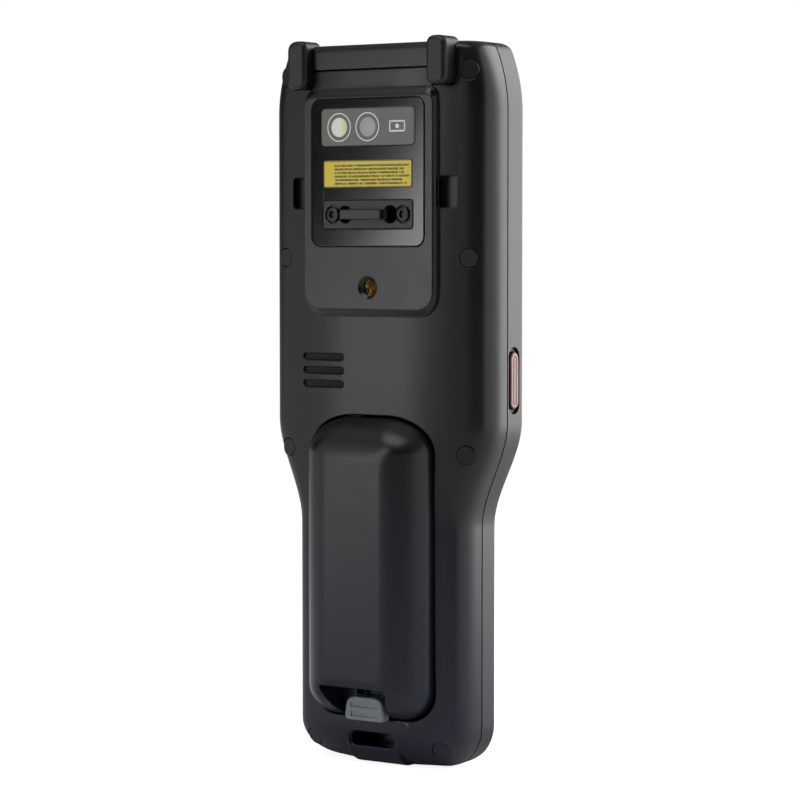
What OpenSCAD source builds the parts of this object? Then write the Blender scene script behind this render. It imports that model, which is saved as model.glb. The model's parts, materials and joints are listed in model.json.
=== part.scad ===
// Portable barcode data terminal: a two-part housing with a display and keypad in front, a scan
// window in its top end, and a battery pack held in a well in the back by a sliding latch.
// +Z runs up the body, the display faces -Y and the battery faces +Y.

/* [Housing] */
// Length of the grip, from the foot to where the body is at its full width
grip_len = 112; // [106:1:138]
// Length of the display head above the grip
head_len = 121; // [115:1:148]
// Width across the display head
head_w = 84.4; // [80:0.2:100]
// Width across the grip
grip_w = 65.4; // [63:0.2:78]
// Depth from the housing seam to the flat of the back
rear_depth = 15.8; // [15:0.1:19]
// Depth from the housing seam to the display bezel
front_depth = 10.7; // [10.4:0.1:13]
// How far the keypad face lies behind the display bezel
keypad_drop = 1.3; // [1:0.1:1.6]
// Wall of both housings
wall = 2.2; // [1.8:0.1:2.7]
// Length over which the grip widens into the head
neck_len = 34; // [28:1:41]
// Width and depth of the rounding between the back and the sides of the head
head_shoulder = [9, 11]; // [8:0.5:14]
// Width and depth of the rounding between the back and the sides of the grip
grip_shoulder = [6, 9.5]; // [5.5:0.1:13]
// Radius of the two lower corners, seen from the back
corner_roll = 13.5; // [11:0.5:17]
// Radius of the foot's back edge
back_roll = 12; // [9:1:13]
// Radius of the foot's front edge
front_roll = 5; // [3:0.5:6]
// Radius of the edge round the top end
top_roll = 2.5; // [2:0.5:4]
// How much each side draws in towards the top end
top_taper = 5.2; // [3:0.2:7]
// Length over which the sides draw in
taper_len = 22; // [16:1:26]
// Thickness of the gasket between the housings
seal_t = 0.6; // [0.4:0.1:0.8]

/* [Raised back pad] */
// How far the pad stands above the back
pad_rise = 1.6; // [1:0.1:2]
// Width of the pad
pad_w = 49.6; // [48:0.2:56]
// Distance of the pad's lower edge from the top end
pad_low = 87.5; // [84:0.5:92]
// Distance of the pad's crest from the top end
pad_crest = 17.2; // [16.6:0.1:18]

/* [Camera panel] */
// Width of the glossy panel
panel_w = 43.8; // [42:0.2:47]
// Length of the glossy panel
panel_len = 47.2; // [46:0.2:52]
// Distance of the panel's upper edge from the top end
panel_top = 17.6; // [17.4:0.1:18.4]
// Thickness of the panel
panel_t = 1.8; // [1.4:0.1:2]
// Width and height of the camera window
window_size = [36.6, 12.2]; // [8:0.2:40]
// Width and height of the label's seat
label_size = [34.6, 8.8]; // [7:0.1:36]
// Width and height of the strap bar's plate
bar_plate = [35.2, 9.2]; // [8:0.1:36]
// Distance between the strap bar's two screws
bar_screw_gap = 27.4; // [26:0.2:28]
// Height of the strap bar above its plate
bar_rise = 4.4; // [3.4:0.1:5]

/* [Threaded insert] */
// Distance of the insert from the top end
insert_low = 78; // [74:0.5:80]
// Outside diameter of the insert
insert_d = 7; // [6:0.1:8.4]
// Tapped bore of the insert
insert_bore = 4.2; // [3.3:0.1:5]
// Length of the insert
insert_len = 8; // [6:0.5:9]

/* [Loudspeaker] */
// Length of one speaker slot
slot_len = 17; // [12:0.5:19]
// Height of one speaker slot
slot_h = 2; // [1.2:0.1:2.4]
// Distance between speaker slots
slot_pitch = 4.4; // [3.6:0.1:5.3]

/* [Battery pack] */
// Width of the pack
pack_w = 46.6; // [44:0.2:48]
// Length of the pack
pack_len = 96.6; // [92:0.2:98]
// Height of the pack's lower end above the foot
pack_z = 16.6; // [15:0.1:18]
// How far the pack stands above the back
hump_rise = 10.8; // [8:0.2:13]
// How far the pack's side walls stand above the back
rim_rise = 1.1; // [0.6:0.1:1.8]
// Width of the flat along the pack's back
hump_flat = 26.6; // [22:0.2:30]
// Depth of the well that the pack sits in
well_depth = 13.2; // [12:0.1:13.4]
// Gap round the pack
pack_gap = 0.5; // [0.4:0.05:0.8]
// Wall of the pack
pack_wall = 1.4; // [1.1:0.1:1.8]
// Diameter of one cell
cell_d = 18.2; // [14:0.2:18.4]
// Length of one cell
cell_len = 65; // [50:0.5:70]
// Travel of the latch
latch_travel = 2.2; // [1.6:0.1:2.4]

/* [Strap slot] */
// Width of the strap slot under the battery
strap_w = 17.2; // [14:0.2:17.4]
// Height of the strap slot
strap_h = 4.5; // [4.3:0.1:5]

/* [Front] */
// Width of the touch glass
glass_w = 63; // [60:0.5:66]
// Length of the touch glass
glass_len = 103; // [90:0.5:103]
// Thickness of the touch glass
glass_t = 1.2; // [0.8:0.1:1.4]
// Width and height of a number key
key_size = [10.6, 8.6]; // [7:0.1:11.4]
// Distance between key columns
key_pitch_x = 12.6; // [12:0.1:13.5]
// Distance between key rows
key_pitch_z = 12.4; // [11.5:0.1:13]
// Travel of a key
key_travel = 0.6; // [0.4:0.1:0.7]

/* [Side buttons] */
// Length of the side scan button
button_len = 18.4; // [14:0.2:20]
// Width of the side scan button
button_w = 5; // [4:0.1:5.4]
// Travel of the side scan button
button_travel = 0.7; // [0.4:0.1:0.9]

/* [Fasteners] */
// Diameter of the screw plugs
plug_d = 6; // [5:0.1:6.6]
// Diameter of the case screws
screw_d = 2.5; // [2:0.1:3]

/* [Hidden] */

$fn = 48;
shell_color = "#3c3d40";
front_color = "#55575b";
rubber_color = "#2b2c2e";
metal_color = "#b9bcc0";
board_color = "#1f5a3a";
key_color = "#d7d9da";

top_z = grip_len + head_len;
neck_z = grip_len - neck_len;
seam_y = (front_depth - rear_depth - hump_rise) / 2;
gap = 0.1;                     // seat clearance of fitted pieces
fit = 0.02;                    // clearance of screws and the insert in their holes
arc_steps = 10;
roll_steps = 6;
neck_steps = 10;
taper_steps = 5;
side_lean = 0.5;
front_lean = 0.3;
front_edge = 2.2;

hood_h = 8;
hood_z = top_z - hood_h;
hood_back = rear_depth - 0.6;
hood_front = -4;
scan_size = [34, 13];
scan_y = 5;
scan_z = top_z - 2.2;
horn_in = 23.3;
horn_w = 7.6;
horn_rise = 3.5;
horn_over = 1.6;
horn_len = 14;
horn_r = 2.3;
horn_seat = rear_depth - 3.6;
horn_top_seat = rear_depth - 5.2;

pad_y = rear_depth + pad_rise;
panel_z = top_z - panel_top - panel_len;
pad_slope = 3.3;               // length of the slope above the panel
panel_r = 3.3;
panel_seat = 2.2;              // wall of the seat behind the panel
window_v = panel_len - 9;
label_v = panel_len - 24;
bar_v = 10.2;
bar_half = 8;
bar_step = 2;                  // height of the step at both ends of the bar
bar_t = 3.1;
bar_pocket = [8.8, 2.8];       // place and radius of the pockets under the bar's ends
bar_screw_d = 1.7;
bar_screw_len = 3.4;
bar_head_r = 2.35;
window_t = 1;
label_t = 0.4;
insert_z = top_z - insert_low;
insert_sink = 1.6;
speaker_x = 19.1;
speaker_z = grip_len + 16;
motor_r = 2.6;
hook_z = top_z - 53.3;
hook_h = 11.4;
hook_x = pad_w / 2 + 0.8;
hook_w = 7.4;
hook_depth = 4;
hook_lip = 1.2;                // thickness of the lip over the pocket's undercut
hook_under = 2.2;
hook_wall = 1.4;
hook_r = 1.2;

pack_top = pack_z + pack_len;
pack_r_top = 12;
pack_r_low = 10;
pack_in = rear_depth - well_depth + 0.4;
hump_y = rear_depth + hump_rise;
hump_inset = (pack_w - hump_flat) / 2;
hump_round = 1.6;
cover_t = 1;
cell_y = pack_in + cover_t + 0.1 + cell_d / 2;
cell_x = cell_d / 2 + 0.15;
cell_z = pack_z + 21;
tab_w = 9;
tab_t = 1.8;
tab_len = 1;
tab_x = 12;
tab_y = rear_depth - 8;
swing_relief = 0.7;            // cut off the pack's inner lower edge, which swings past the well's end
scoop_top = pack_z + 10.3;
scoop_floor = rear_depth + 0.2;
latch_z = pack_z - 1.3;
latch_len = 7.8;
latch_w = 15.6;
latch_face = rear_depth + 3.8;
spring_d = 2.4;
spring_wire = 0.45;
spring_turns = 4;
contact_z = pack_top - 12;
contact_pitch = 3.6;

strap_block_w = 20.4;
strap_roll = 9;
strap_z = 6.4;
strap_in = 4.2;
well_wall = 1.6;
well_floor = rear_depth - well_depth;

glass_z = grip_len + 6.5;
glass_r = 3.5;
keypad_y = -(front_depth - keypad_drop);
key_skin = keypad_y + wall;
key_flange = 0.9;
key_gap = 0.3;
mat_t = 1;
mat_y = key_skin + gap + key_flange + key_travel + 0.3;
pcb_t = 1;
display_y = -front_depth + 0.2 + glass_t;
display_t = 3;
display_inset = 3.2;
board_y = display_y + display_t + 0.4;
key_rows_z = grip_len - 46.5;
key_cap_y = keypad_y - 1.1;

button_z = grip_len + 13.4;
button_d = -4.2;
button_proud = 0.2;
button_stop = 1.3;
recess_len = button_len + 3;
recess_w = button_w + 1.6;
recess_depth = 1.1;

screw_x = head_w / 2 - 6.3;
screw_sites = [[screw_x, top_z - 9.4], [screw_x, top_z - 68.5],
    [(grip_w + head_w) / 4 - 2.6, grip_len - 9.8], [grip_w / 2 - 7.6, 6.8]];
plug_t = 1.4;
head_d = 4.4;
head_h = 1.6;
head_seat = 4.6;
boss_r = 2.7;
screw_tip = -5;
board_w = 2 * (screw_x - boss_r - 1.4);
dock_y = -5.2;

// A value that eases from 0 to 1 as t goes from 0 to 1
function smooth(t) = let (u = max(0, min(1, t))) u * u * (3 - 2 * u);

// How far a rounded edge of radius r draws a face in at the distance z from the end
function roll(z, r) = z >= r ? 0 : r - sqrt(max(0, r * r - (r - z) * (r - z)));

// 0 in the grip, 1 in the head
function neck(z) = smooth((z - neck_z) / neck_len);

// Half the width of the body at height z, or of a face that lies inset inside it
function side_x(z, inset = 0) = grip_w / 2 + (head_w - grip_w) / 2 * neck(z)
    - top_taper * pow(max(0, (z - top_z + taper_len) / taper_len), 2) - inset
    - roll(z - inset, corner_roll - inset) - roll(top_z - inset - z, max(0.4, top_roll - inset));

// Depth of the back and of the front at height z
function back_d(z, inset = 0) = rear_depth - inset - roll(z - inset, back_roll - inset)
    - roll(top_z - inset - z, max(0.4, top_roll - inset));
function front_d(z, inset = 0) = front_depth - keypad_drop * (1 - neck(z)) - inset
    - roll(z - inset, front_roll - inset) - roll(top_z - inset - z, max(0.4, top_roll - inset));
function shoulder(z) = grip_shoulder + (head_shoulder - grip_shoulder) * neck(z);

// How far round the shoulder a place lies, and the depth and sideways tilt of the surface there
function shoulder_start(z) = side_x(z) - side_lean - shoulder(z)[0];
function shoulder_turn(x, z) = asin(max(0, min(0.95, (x - shoulder_start(z)) / shoulder(z)[0])));
function shoulder_tilt(x, z) = atan(shoulder(z)[1] / shoulder(z)[0] * tan(shoulder_turn(x, z)));
function foot_tilt(z) = asin(max(0, (back_roll - z) / back_roll));
function surface_d(x, z) = back_d(z) - shoulder(z)[1] * (1 - cos(shoulder_turn(x, z)));

// Heights of the loft's rows: the foot's roll, the neck, the taper and the top edge
function row_heights(inset) = let (low = corner_roll - inset, high = max(0.4, top_roll - inset)) concat(
    [for (i = [0 : roll_steps]) inset + low * (1 - cos(90 * i / roll_steps))],
    [for (i = [0 : neck_steps]) neck_z + neck_len * i / neck_steps],
    [for (i = [0 : taper_steps]) top_z - taper_len + (taper_len - inset - high) * i / taper_steps],
    [for (i = [1 : 3]) top_z - inset - high * (1 - sin(30 * i))]);

// One row of the loft: from the seam round both shoulders and back to the seam
function row(x, depth, edge, lean, seam) =
    let (w = min(edge[0], 0.85 * x), h = min(edge[1], 0.85 * depth)) concat(
    [[x, seam]],
    [for (i = [0 : arc_steps]) let (a = 90 * i / arc_steps)
        [x - lean - w * (1 - cos(a)), depth - h * (1 - sin(a))]],
    [for (i = [arc_steps : -1 : 0]) let (a = 90 * i / arc_steps)
        [-x + lean + w * (1 - cos(a)), depth - h * (1 - sin(a))]],
    [[-x, seam]]);

// Faces of a closed skin through m rings of n points each
function tube_faces(m, n) = concat(
    [[for (i = [0 : n - 1]) i], [for (i = [n - 1 : -1 : 0]) (m - 1) * n + i]],
    [for (k = [0 : m - 2], i = [0 : n - 1], half = [0, 1]) let (j = (i + 1) % n)
        half == 0 ? [k * n + i, (k + 1) * n + i, (k + 1) * n + j]
            : [k * n + i, (k + 1) * n + j, k * n + j]]);

// A closed skin through rows that all have the same number of points
module loft(rows, heights) {
    points = [for (k = [0 : len(rows) - 1], p = rows[k]) [p[0], p[1], heights[k]]];
    polyhedron(points = points, faces = tube_faces(len(rows), len(rows[0])), convexity = 6);
}

module rear_form(inset, seam) {
    z = row_heights(inset);
    loft([for (h = z)
        row(side_x(h, inset), back_d(h, inset), shoulder(h) - [inset, inset], side_lean, seam)], z);
}

module front_form(inset, seam) {
    z = row_heights(inset);
    edge = max(0.4, front_edge - inset);
    loft([for (h = z)
        [for (p = row(side_x(h, inset), front_d(h, inset), [edge, edge], front_lean, seam)) -p]], z);
}

// Places that children are drawn in
module at_seam() translate([0, seam_y, 0]) children();
module along_y(from, to) translate([0, to, 0]) rotate([90, 0, 0]) linear_extrude(to - from) children();
module along_x(from, to) translate([from, 0, 0]) rotate([90, 0, 90]) linear_extrude(to - from) children();
module both_sides() for (s = [0, 1]) mirror([s, 0, 0]) children();
module on_panel() translate([0, pad_y, panel_z]) children();
module on_back(site) translate([site[0], surface_d(site[0], site[1]), site[1]])
    rotate([0, 0, -shoulder_tilt(site[0], site[1])]) rotate([-foot_tilt(site[1]), 0, 0]) children();

// A rectangle with round corners, its lower edge on the axis
module card(w, h, r_low, r_top) {
    translate([-w / 2, r_low]) square([w, h - r_low - r_top]);
    translate([-w / 2 + r_low, 0]) square([w - 2 * r_low, r_low + 0.01]);
    translate([-w / 2 + r_top, h - r_top - 0.01]) square([w - 2 * r_top, r_top + 0.01]);
    for (s = [-1, 1]) {
        translate([s * (w / 2 - r_low), r_low]) circle(r_low);
        translate([s * (w / 2 - r_top), h - r_top]) circle(r_top);
    }
}

module middle_card(size, r) translate([0, -size[1] / 2]) card(size[0], size[1], r, r);
module pill(length, w) {
    square([w, length - w], center = true);
    for (s = [-1, 1]) translate([0, s * (length - w) / 2]) circle(w / 2);
}

// ---- Housings ----

// The raised pad: soft edges at its sides and foot, and a slope from the panel down to the hood
module back_pad() {
    low = top_z - pad_low;
    crest = top_z - pad_crest;
    edge = 1.4;
    hull() {
        translate([0, 0, low]) along_y(rear_depth - 1.2, rear_depth)
            card(pad_w + 2 * edge, crest + pad_slope - low, 7, 3.6, $fn = 32);
        translate([0, 0, low + 2 * edge]) along_y(rear_depth, pad_y)
            card(pad_w, crest - low - 2 * edge, 5.5, 2.4, $fn = 32);
    }
}

// The pack's well: the space itself, or with grow the block of its walls
module well_cut(grow) translate([0, 0, pack_z - pack_gap - grow])
    along_y(well_floor - (grow > 0 ? grow : 0), rear_depth + (grow > 0 ? -0.4 : 8))
        card(pack_w + 2 * (pack_gap + grow), pack_len + 2 * (pack_gap + grow),
            pack_r_low - swing_relief, pack_r_top);

module tab_cut() both_sides() translate([tab_x - tab_w / 2 - 0.4, tab_y - 0.4, pack_top - 2])
    cube([tab_w + 0.8, tab_t + 0.8, 2 + tab_len + pack_gap + 0.4]);

// The thick lip under the battery, with the slot that a strap is looped through
module strap_profile() difference() {
    union() {
        square([rear_depth - strap_roll, pack_z - pack_gap]);
        translate([0, strap_roll]) square([rear_depth, pack_z - pack_gap - strap_roll]);
        translate([rear_depth - strap_roll, strap_roll]) circle(strap_roll, $fn = 96);
    }
    translate([strap_in - wall - strap_roll, -1]) square([strap_roll, pack_z + 2]);
}

module strap_cut() {
    translate([0, 0, strap_z]) along_y(strap_in, rear_depth + 2) card(strap_w, strap_h, 1.6, 1.6);
    translate([0, strap_in + strap_h / 2, 0]) linear_extrude(strap_z + strap_h / 2)
        translate([0, -strap_h / 2]) card(strap_w, strap_h, 1.6, 1.6);
    translate([-strap_w / 2, strap_in, -1]) cube([strap_w, strap_h, 3]);
}

// A pocket beside the pad that an accessory clips into, with an undercut towards the pad
module hook_cut() both_sides() {
    translate([hook_x + hook_w / 2, 0, hook_z])
        along_y(rear_depth - hook_depth, rear_depth + 3) card(hook_w, hook_h, hook_r, hook_r);
    translate([hook_x - hook_under, rear_depth - hook_depth, hook_z + 0.8])
        cube([hook_under + 1, hook_depth - hook_lip, hook_h - 1.6]);
}
module hook_block() both_sides()
    translate([hook_x - hook_under - hook_wall, rear_depth - hook_depth - hook_wall, hook_z - hook_wall])
        cube([hook_w + hook_under + 2 * hook_wall, hook_depth - 0.2, hook_h + 2 * hook_wall]);

module boss_at(site, from, to, r) translate([site[0], 0, site[1]]) along_y(from, to) circle(r);

// A boss that stands on the seam and ends just under the slanting surface
module screw_boss(site) {
    boss_at(site, seal_t / 2, surface_d(site[0], site[1]) - 3.6, boss_r);
    on_back(site) along_y(-5.2, -1) circle(boss_r);
}

module screw_cut(site) {
    seat = surface_d(site[0], site[1]) - head_seat;
    boss_at(site, -0.5, seat + 1, screw_d / 2 + 0.15);
    boss_at(site, seat, surface_d(site[0], site[1]) - plug_t, head_d / 2 + 0.2);
    on_back(site) along_y(-plug_t - 0.2, 4) circle(plug_d / 2 + 0.1);
}

module panel_cut() {
    on_panel() along_y(-panel_t, 6) translate([0, -gap])
        card(panel_w + 2 * gap, panel_len + 2 * gap, panel_r, panel_r);
    on_panel() translate([0, 0, window_v]) along_y(-9, 0) middle_card(window_size - [3, 3], 1);
}

module horn_cut() both_sides() along_x(horn_in - gap, horn_in + horn_w + gap) polygon([
    [horn_seat - gap, top_z - horn_len - gap], [horn_seat - gap, top_z - horn_len + horn_r],
    [horn_top_seat - gap, top_z + horn_over - horn_r], [horn_top_seat - gap, top_z + horn_over + 1],
    [hump_y, top_z + horn_over + 1], [hump_y, top_z - horn_len - gap]]);

module hood_cut() translate([-horn_in, hood_front - gap, hood_z - gap]) cube([2 * horn_in, 40, hood_h + 4]);

module speaker_cut() for (k = [-1 : 1]) translate([speaker_x, 0, speaker_z + k * slot_pitch])
    along_y(rear_depth - wall - 2, rear_depth + 1) rotate(90) pill(slot_len, slot_h);

module rear_housing() color(shell_color) at_seam() difference() {
    union() {
        difference() {
            rear_form(0, seal_t / 2);
            rear_form(wall, -1);
        }
        back_pad();
        well_cut(well_wall);
        along_x(-strap_block_w / 2, strap_block_w / 2) strap_profile();
        hook_block();
        on_panel() along_y(-panel_t - panel_seat, -pad_rise) translate([0, -1.5])
            card(panel_w + 3, panel_len + 3, panel_r, panel_r);
        on_panel() translate([0, 0, bar_v])
            along_y(-panel_t - 2 * panel_seat, -1) middle_card([panel_w + 3, 12], 1);
        translate([0, 0, insert_z])
            along_y(pad_y - insert_sink - insert_len - 1, rear_depth - 1) circle(insert_d / 2 + 1.6);
        both_sides() for (s = screw_sites) screw_boss(s);
    }
    well_cut(0);
    tab_cut();
    strap_cut();
    hook_cut();
    both_sides() for (s = screw_sites) screw_cut(s);
    panel_cut();
    on_panel() translate([0, 0, bar_v]) bar_pockets(-panel_t - panel_seat);
    on_panel() translate([0, 0, bar_v]) bar_screw_holes(bar_screw_d / 2, -panel_t - bar_screw_len - 0.2);
    translate([0, 0, insert_z])
        along_y(pad_y - insert_sink - insert_len, pad_y + 1) circle(insert_d / 2 + fit);
    translate([0, pad_y - 0.6, insert_z]) rotate([-90, 0, 0])
        cylinder(h = 1.2, r1 = insert_d / 2, r2 = insert_d / 2 + 1.2);
    speaker_cut();
    horn_cut();
    hood_cut();
    contact_row(well_floor - well_wall - 1, well_floor + 0.1, 1.25);
    dock_cut();
}

module dock_cut() translate([0, dock_y, -1]) linear_extrude(5) card(19.2, 4.6, 1.2, 1.2);

module key_cut() for (k = key_sites) translate([k[1], 0, k[2]])
    along_y(keypad_y - 2, key_skin + 1) middle_card([k[3] + 2 * key_gap, k[4] + 2 * key_gap], k[5] + key_gap);

module button_cut() both_sides() translate([0, button_d, button_z]) {
    along_x(head_w / 2 - recess_depth, head_w / 2 + 2) pill(recess_len, recess_w);
    along_x(head_w / 2 - wall - 3, head_w / 2 + 2) pill(button_len + 0.4, button_w + 0.4);
}

module board_posts() {
    both_sides() for (z = [glass_z + 20, glass_z + glass_len - 14])
        boss_at([board_w / 2 - 0.8, z], -front_depth + 1, board_y, 1.4);
    both_sides() for (z = [pack_z + 4, grip_len - 8])
        boss_at([grip_w / 2 - 6.2, z], keypad_y + 1, mat_y + mat_t, 1.5);
}

module front_housing() color(front_color) at_seam() difference() {
    union() {
        difference() {
            front_form(0, seal_t / 2);
            front_form(wall, -1);
        }
        board_posts();
        both_sides() for (s = screw_sites) boss_at(s, -front_d(s[1]) + 1, -seal_t / 2, boss_r);
    }
    translate([0, 0, glass_z - gap]) along_y(-front_depth - 1, display_y)
        card(glass_w + 2 * gap, glass_len + 2 * gap, glass_r, glass_r);
    translate([0, 0, glass_z + display_inset - 0.3]) along_y(-front_depth, -front_depth + wall + 1)
        card(glass_w - 2 * display_inset + 0.6, glass_len - 2 * display_inset + 0.6, 1, 1);
    both_sides() for (s = screw_sites) boss_at(s, screw_tip - 0.3, 0, screw_d / 2 + fit);
    key_cut();
    button_cut();
    hood_cut();
    dock_cut();
}

module housing_seal() color("#141516") at_seam() difference() {
    along_y(-seal_t / 2, seal_t / 2) difference() {
        polygon(outline_points(0.7));
        polygon(outline_points(wall - 0.1));
    }
    hood_cut();
    dock_cut();
}

// The body's outline at the seam, up the right side and down the left
function outline_points(inset) = let (z = row_heights(inset), n = len(z)) concat(
    [for (i = [0 : n - 1]) [side_x(z[i], inset), z[i]]],
    [for (i = [n - 1 : -1 : 0]) [-side_x(z[i], inset), z[i]]]);

// ---- Scan end ----

module hood_profile() {
    r = 2;
    translate([hood_front, 0]) square([hood_back - hood_front - r, hood_h]);
    translate([hood_back - r - 0.01, 0]) square([r + 0.01, hood_h - r]);
    translate([hood_back - r, hood_h - r]) circle(r);
}

module scan_hood() color(shell_color) at_seam() difference() {
    translate([0, 0, hood_z]) along_x(-horn_in + gap, horn_in - gap) hood_profile();
    translate([0, scan_y, scan_z]) linear_extrude(5) middle_card(scan_size + 2 * [gap, gap], 1.6);
    translate([0, scan_y, hood_z - 1]) linear_extrude(hood_h + 2) middle_card(scan_size - [3, 3], 1);
}

module scan_window() color("#5a1416") at_seam()
    translate([0, scan_y, scan_z]) linear_extrude(1.2) middle_card(scan_size, 1.5);

module scan_engine() color("#26282a") at_seam() {
    translate([-13, scan_y - 6.5, hood_z - 17.5]) cube([26, 9, 17.2]);
    translate([-7, scan_y - 0.5, hood_z - 0.31]) cylinder(h = 2.4, r = 3);
    translate([6, scan_y - 0.5, hood_z - 0.31]) cylinder(h = 2.4, r = 2.2);
}

module horn() {
    out = rear_depth + horn_rise - 2 * horn_r;
    reach = [horn_w - 2 * horn_r, out - horn_seat, horn_len + horn_over - 2 * horn_r];
    translate([horn_in + horn_r, 0, top_z - horn_len + horn_r]) hull() {
        for (x = [0, reach[0]], z = [0, reach[2]])
            translate([x, horn_seat + horn_r + reach[1], z]) sphere(horn_r, $fn = 20);
        for (x = [0, reach[0]]) {
            translate([x, horn_seat + horn_r, 0]) sphere(horn_r, $fn = 20);
            translate([x, horn_top_seat + horn_r, reach[2]]) sphere(horn_r, $fn = 20);
        }
    }
}

module bumper_right() color(rubber_color) at_seam() horn();
module bumper_left() color(rubber_color) at_seam() mirror([1, 0, 0]) horn();

// ---- Camera panel ----

module bar_pockets(floor_n) both_sides()
    translate([bar_pocket[0], 0, 0]) along_y(floor_n, 1) circle(bar_pocket[1]);
module bar_screw_holes(r, floor_n) both_sides()
    translate([bar_screw_gap / 2, 0, 0]) along_y(floor_n, 1) circle(r);

module camera_panel() color("#202124") at_seam() on_panel() difference() {
    along_y(-panel_t, 0) card(panel_w, panel_len, panel_r, panel_r);
    translate([0, 0, window_v]) along_y(-window_t, 1) middle_card(window_size + 2 * [gap, gap], 1.2);
    translate([0, 0, window_v]) along_y(-panel_t - 1, 0) middle_card(window_size - [3, 3], 1);
    translate([0, 0, label_v]) along_y(-label_t, 1) middle_card(label_size + 2 * [gap, gap], 0.8);
    translate([0, 0, bar_v]) along_y(-panel_t - 1, 1) middle_card(bar_plate + 2 * [gap, gap], 1);
}

module camera_window() color("#6b6c66") at_seam() on_panel() translate([0, 0, window_v])
    along_y(-window_t, 0) middle_card(window_size, 1.1);

module label_plate() color("#d8c53c") at_seam() on_panel() translate([0, 0, label_v])
    along_y(-label_t, 0) middle_card(label_size, 0.7);

module camera_module() color("#1b1c1e") at_seam() on_panel() translate([0, 0, window_v]) {
    along_y(-panel_t - 4.6, -panel_t - 0.2) square([8.4, 8.4], center = true);
    along_y(-panel_t - 0.25, -window_t - 0.2) circle(3);
}

module flash_led() color("#e8e3c0") at_seam() on_panel() translate([11.1, 0, window_v]) {
    along_y(-panel_t - 2.4, -panel_t - 0.2) square([6.4, 6.4], center = true);
    along_y(-panel_t - 0.25, -window_t - 0.2) circle(2.9);
}

// The anchor bar: a plate with two pockets and a raised bridge between them
module strap_bar() color("#2e3033") at_seam() on_panel() translate([0, 0, bar_v]) difference() {
    half = [[5.4, -0.1], [5.4, 1.1], [bar_half + 0.9, 1.4], [bar_half + 0.9, bar_rise - bar_step],
        [bar_half, bar_rise - bar_step], [bar_half, bar_rise]];
    union() {
        along_y(-panel_t, 0) middle_card(bar_plate, 0.9);
        translate([0, 0, -bar_t / 2]) linear_extrude(bar_t) polygon(concat(
            [for (p = half) [-p[0], p[1]]], [for (i = [len(half) - 1 : -1 : 0]) half[i]]));
    }
    difference() {
        bar_pockets(-panel_t - 1);
        translate([-bar_half - 5, 1, -bar_t / 2]) cube([2 * bar_half + 10, 6, bar_t]);
    }
    bar_screw_holes(bar_screw_d / 2 + 0.35, -panel_t - 1);
    both_sides() translate([bar_screw_gap / 2, 0, 0]) along_y(-1, 4) circle(bar_head_r + 0.45);
}

module strap_screws() color(metal_color) at_seam() on_panel() translate([0, 0, bar_v])
    both_sides() translate([bar_screw_gap / 2, 0, 0]) difference() {
        union() {
            along_y(-1, 0.3) circle(bar_head_r);
            along_y(-panel_t - bar_screw_len, -0.9) circle(bar_screw_d / 2);
        }
        along_y(-0.6, 1) for (a = [0 : 60 : 120]) rotate(a) square([1.9, 0.6], center = true);
    }

module threaded_insert() color("#c8923e") at_seam() translate([0, 0, insert_z])
    translate([0, pad_y - insert_sink - insert_len, 0]) rotate([-90, 0, 0]) difference() {
        cylinder(h = insert_len, r = insert_d / 2);
        translate([0, 0, 1]) cylinder(h = insert_len, r = insert_bore / 2);
        translate([0, 0, insert_len - 0.6])
            cylinder(h = 0.7, r1 = insert_bore / 2, r2 = insert_bore / 2 + 0.7);
    }

// ---- Fasteners ----

module case_screws() color(metal_color) at_seam() both_sides() for (s = screw_sites) {
    seat = surface_d(s[0], s[1]) - head_seat;
    boss_at(s, screw_tip, seat + 0.01, screw_d / 2);
    difference() {
        boss_at(s, seat, seat + head_h, head_d / 2);
        boss_at(s, seat + 0.8, seat + head_h + 1, 0.9);
    }
}

module screw_plugs() color(rubber_color) at_seam() both_sides() for (s = screw_sites)
    on_back(s) along_y(-plug_t - 0.15, -0.15) circle(plug_d / 2);

// ---- Loudspeaker ----

module speaker_face() square([slot_len + 1, 2 * slot_pitch + slot_h + 1], center = true);

module speaker_mesh() color("#0d0e0f") at_seam() translate([speaker_x, 0, speaker_z])
    along_y(rear_depth - wall - 0.3, rear_depth - wall) speaker_face();

module loudspeaker() color("#2a2b2d") at_seam() translate([speaker_x, 0, speaker_z]) {
    along_y(rear_depth - wall - 4.6, rear_depth - wall - 0.4) speaker_face();
    along_y(rear_depth - wall - 6.4, rear_depth - wall - 4.5) circle(4.6);
}

// ---- Boards and display ----

module main_board() color(board_color) at_seam()
    translate([0, 0, glass_z + 2]) along_y(board_y, board_y + pcb_t) card(board_w, glass_len - 6, 2, 2);

module display_panel() color("#101820") at_seam() translate([0, 0, glass_z + display_inset])
    along_y(display_y, display_y + display_t)
        card(glass_w - 2 * display_inset, glass_len - 2 * display_inset, 0.8, 0.8);

module touch_glass() color("#0c0d0f") at_seam() translate([0, 0, glass_z])
    along_y(display_y - glass_t, display_y) card(glass_w, glass_len, glass_r - gap, glass_r - gap);

module keypad_board() color(board_color) at_seam() translate([0, 0, pack_z])
    along_y(mat_y + mat_t, mat_y + mat_t + pcb_t) card(grip_w - 8.8, grip_len - pack_z - 3, 5, 2);

module key_mat() color("#3a3d42") at_seam() translate([0, 0, pack_z + 7])
    along_y(mat_y, mat_y + mat_t) card(grip_w - 16, grip_len - pack_z - 18, 4, 2);

module well_contacts() color("#d8b04a") at_seam()
    contact_row(well_floor - well_wall - 0.8, well_floor + 0.1, 1.2);

module contact_row(from, to, half) for (k = [-2 : 2]) translate([k * contact_pitch, 0, contact_z])
    along_y(from, to) square(2 * half, center = true);

module dock_connector() color("#8f9195") at_seam() difference() {
    translate([0, dock_y + gap, 1]) linear_extrude(3.4) card(19, 4.4, 1.1, 1.1);
    for (k = [-3 : 3]) translate([k * 2.4, dock_y + 2.3, 0.9]) cylinder(h = 1, r = 0.7);
}

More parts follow.
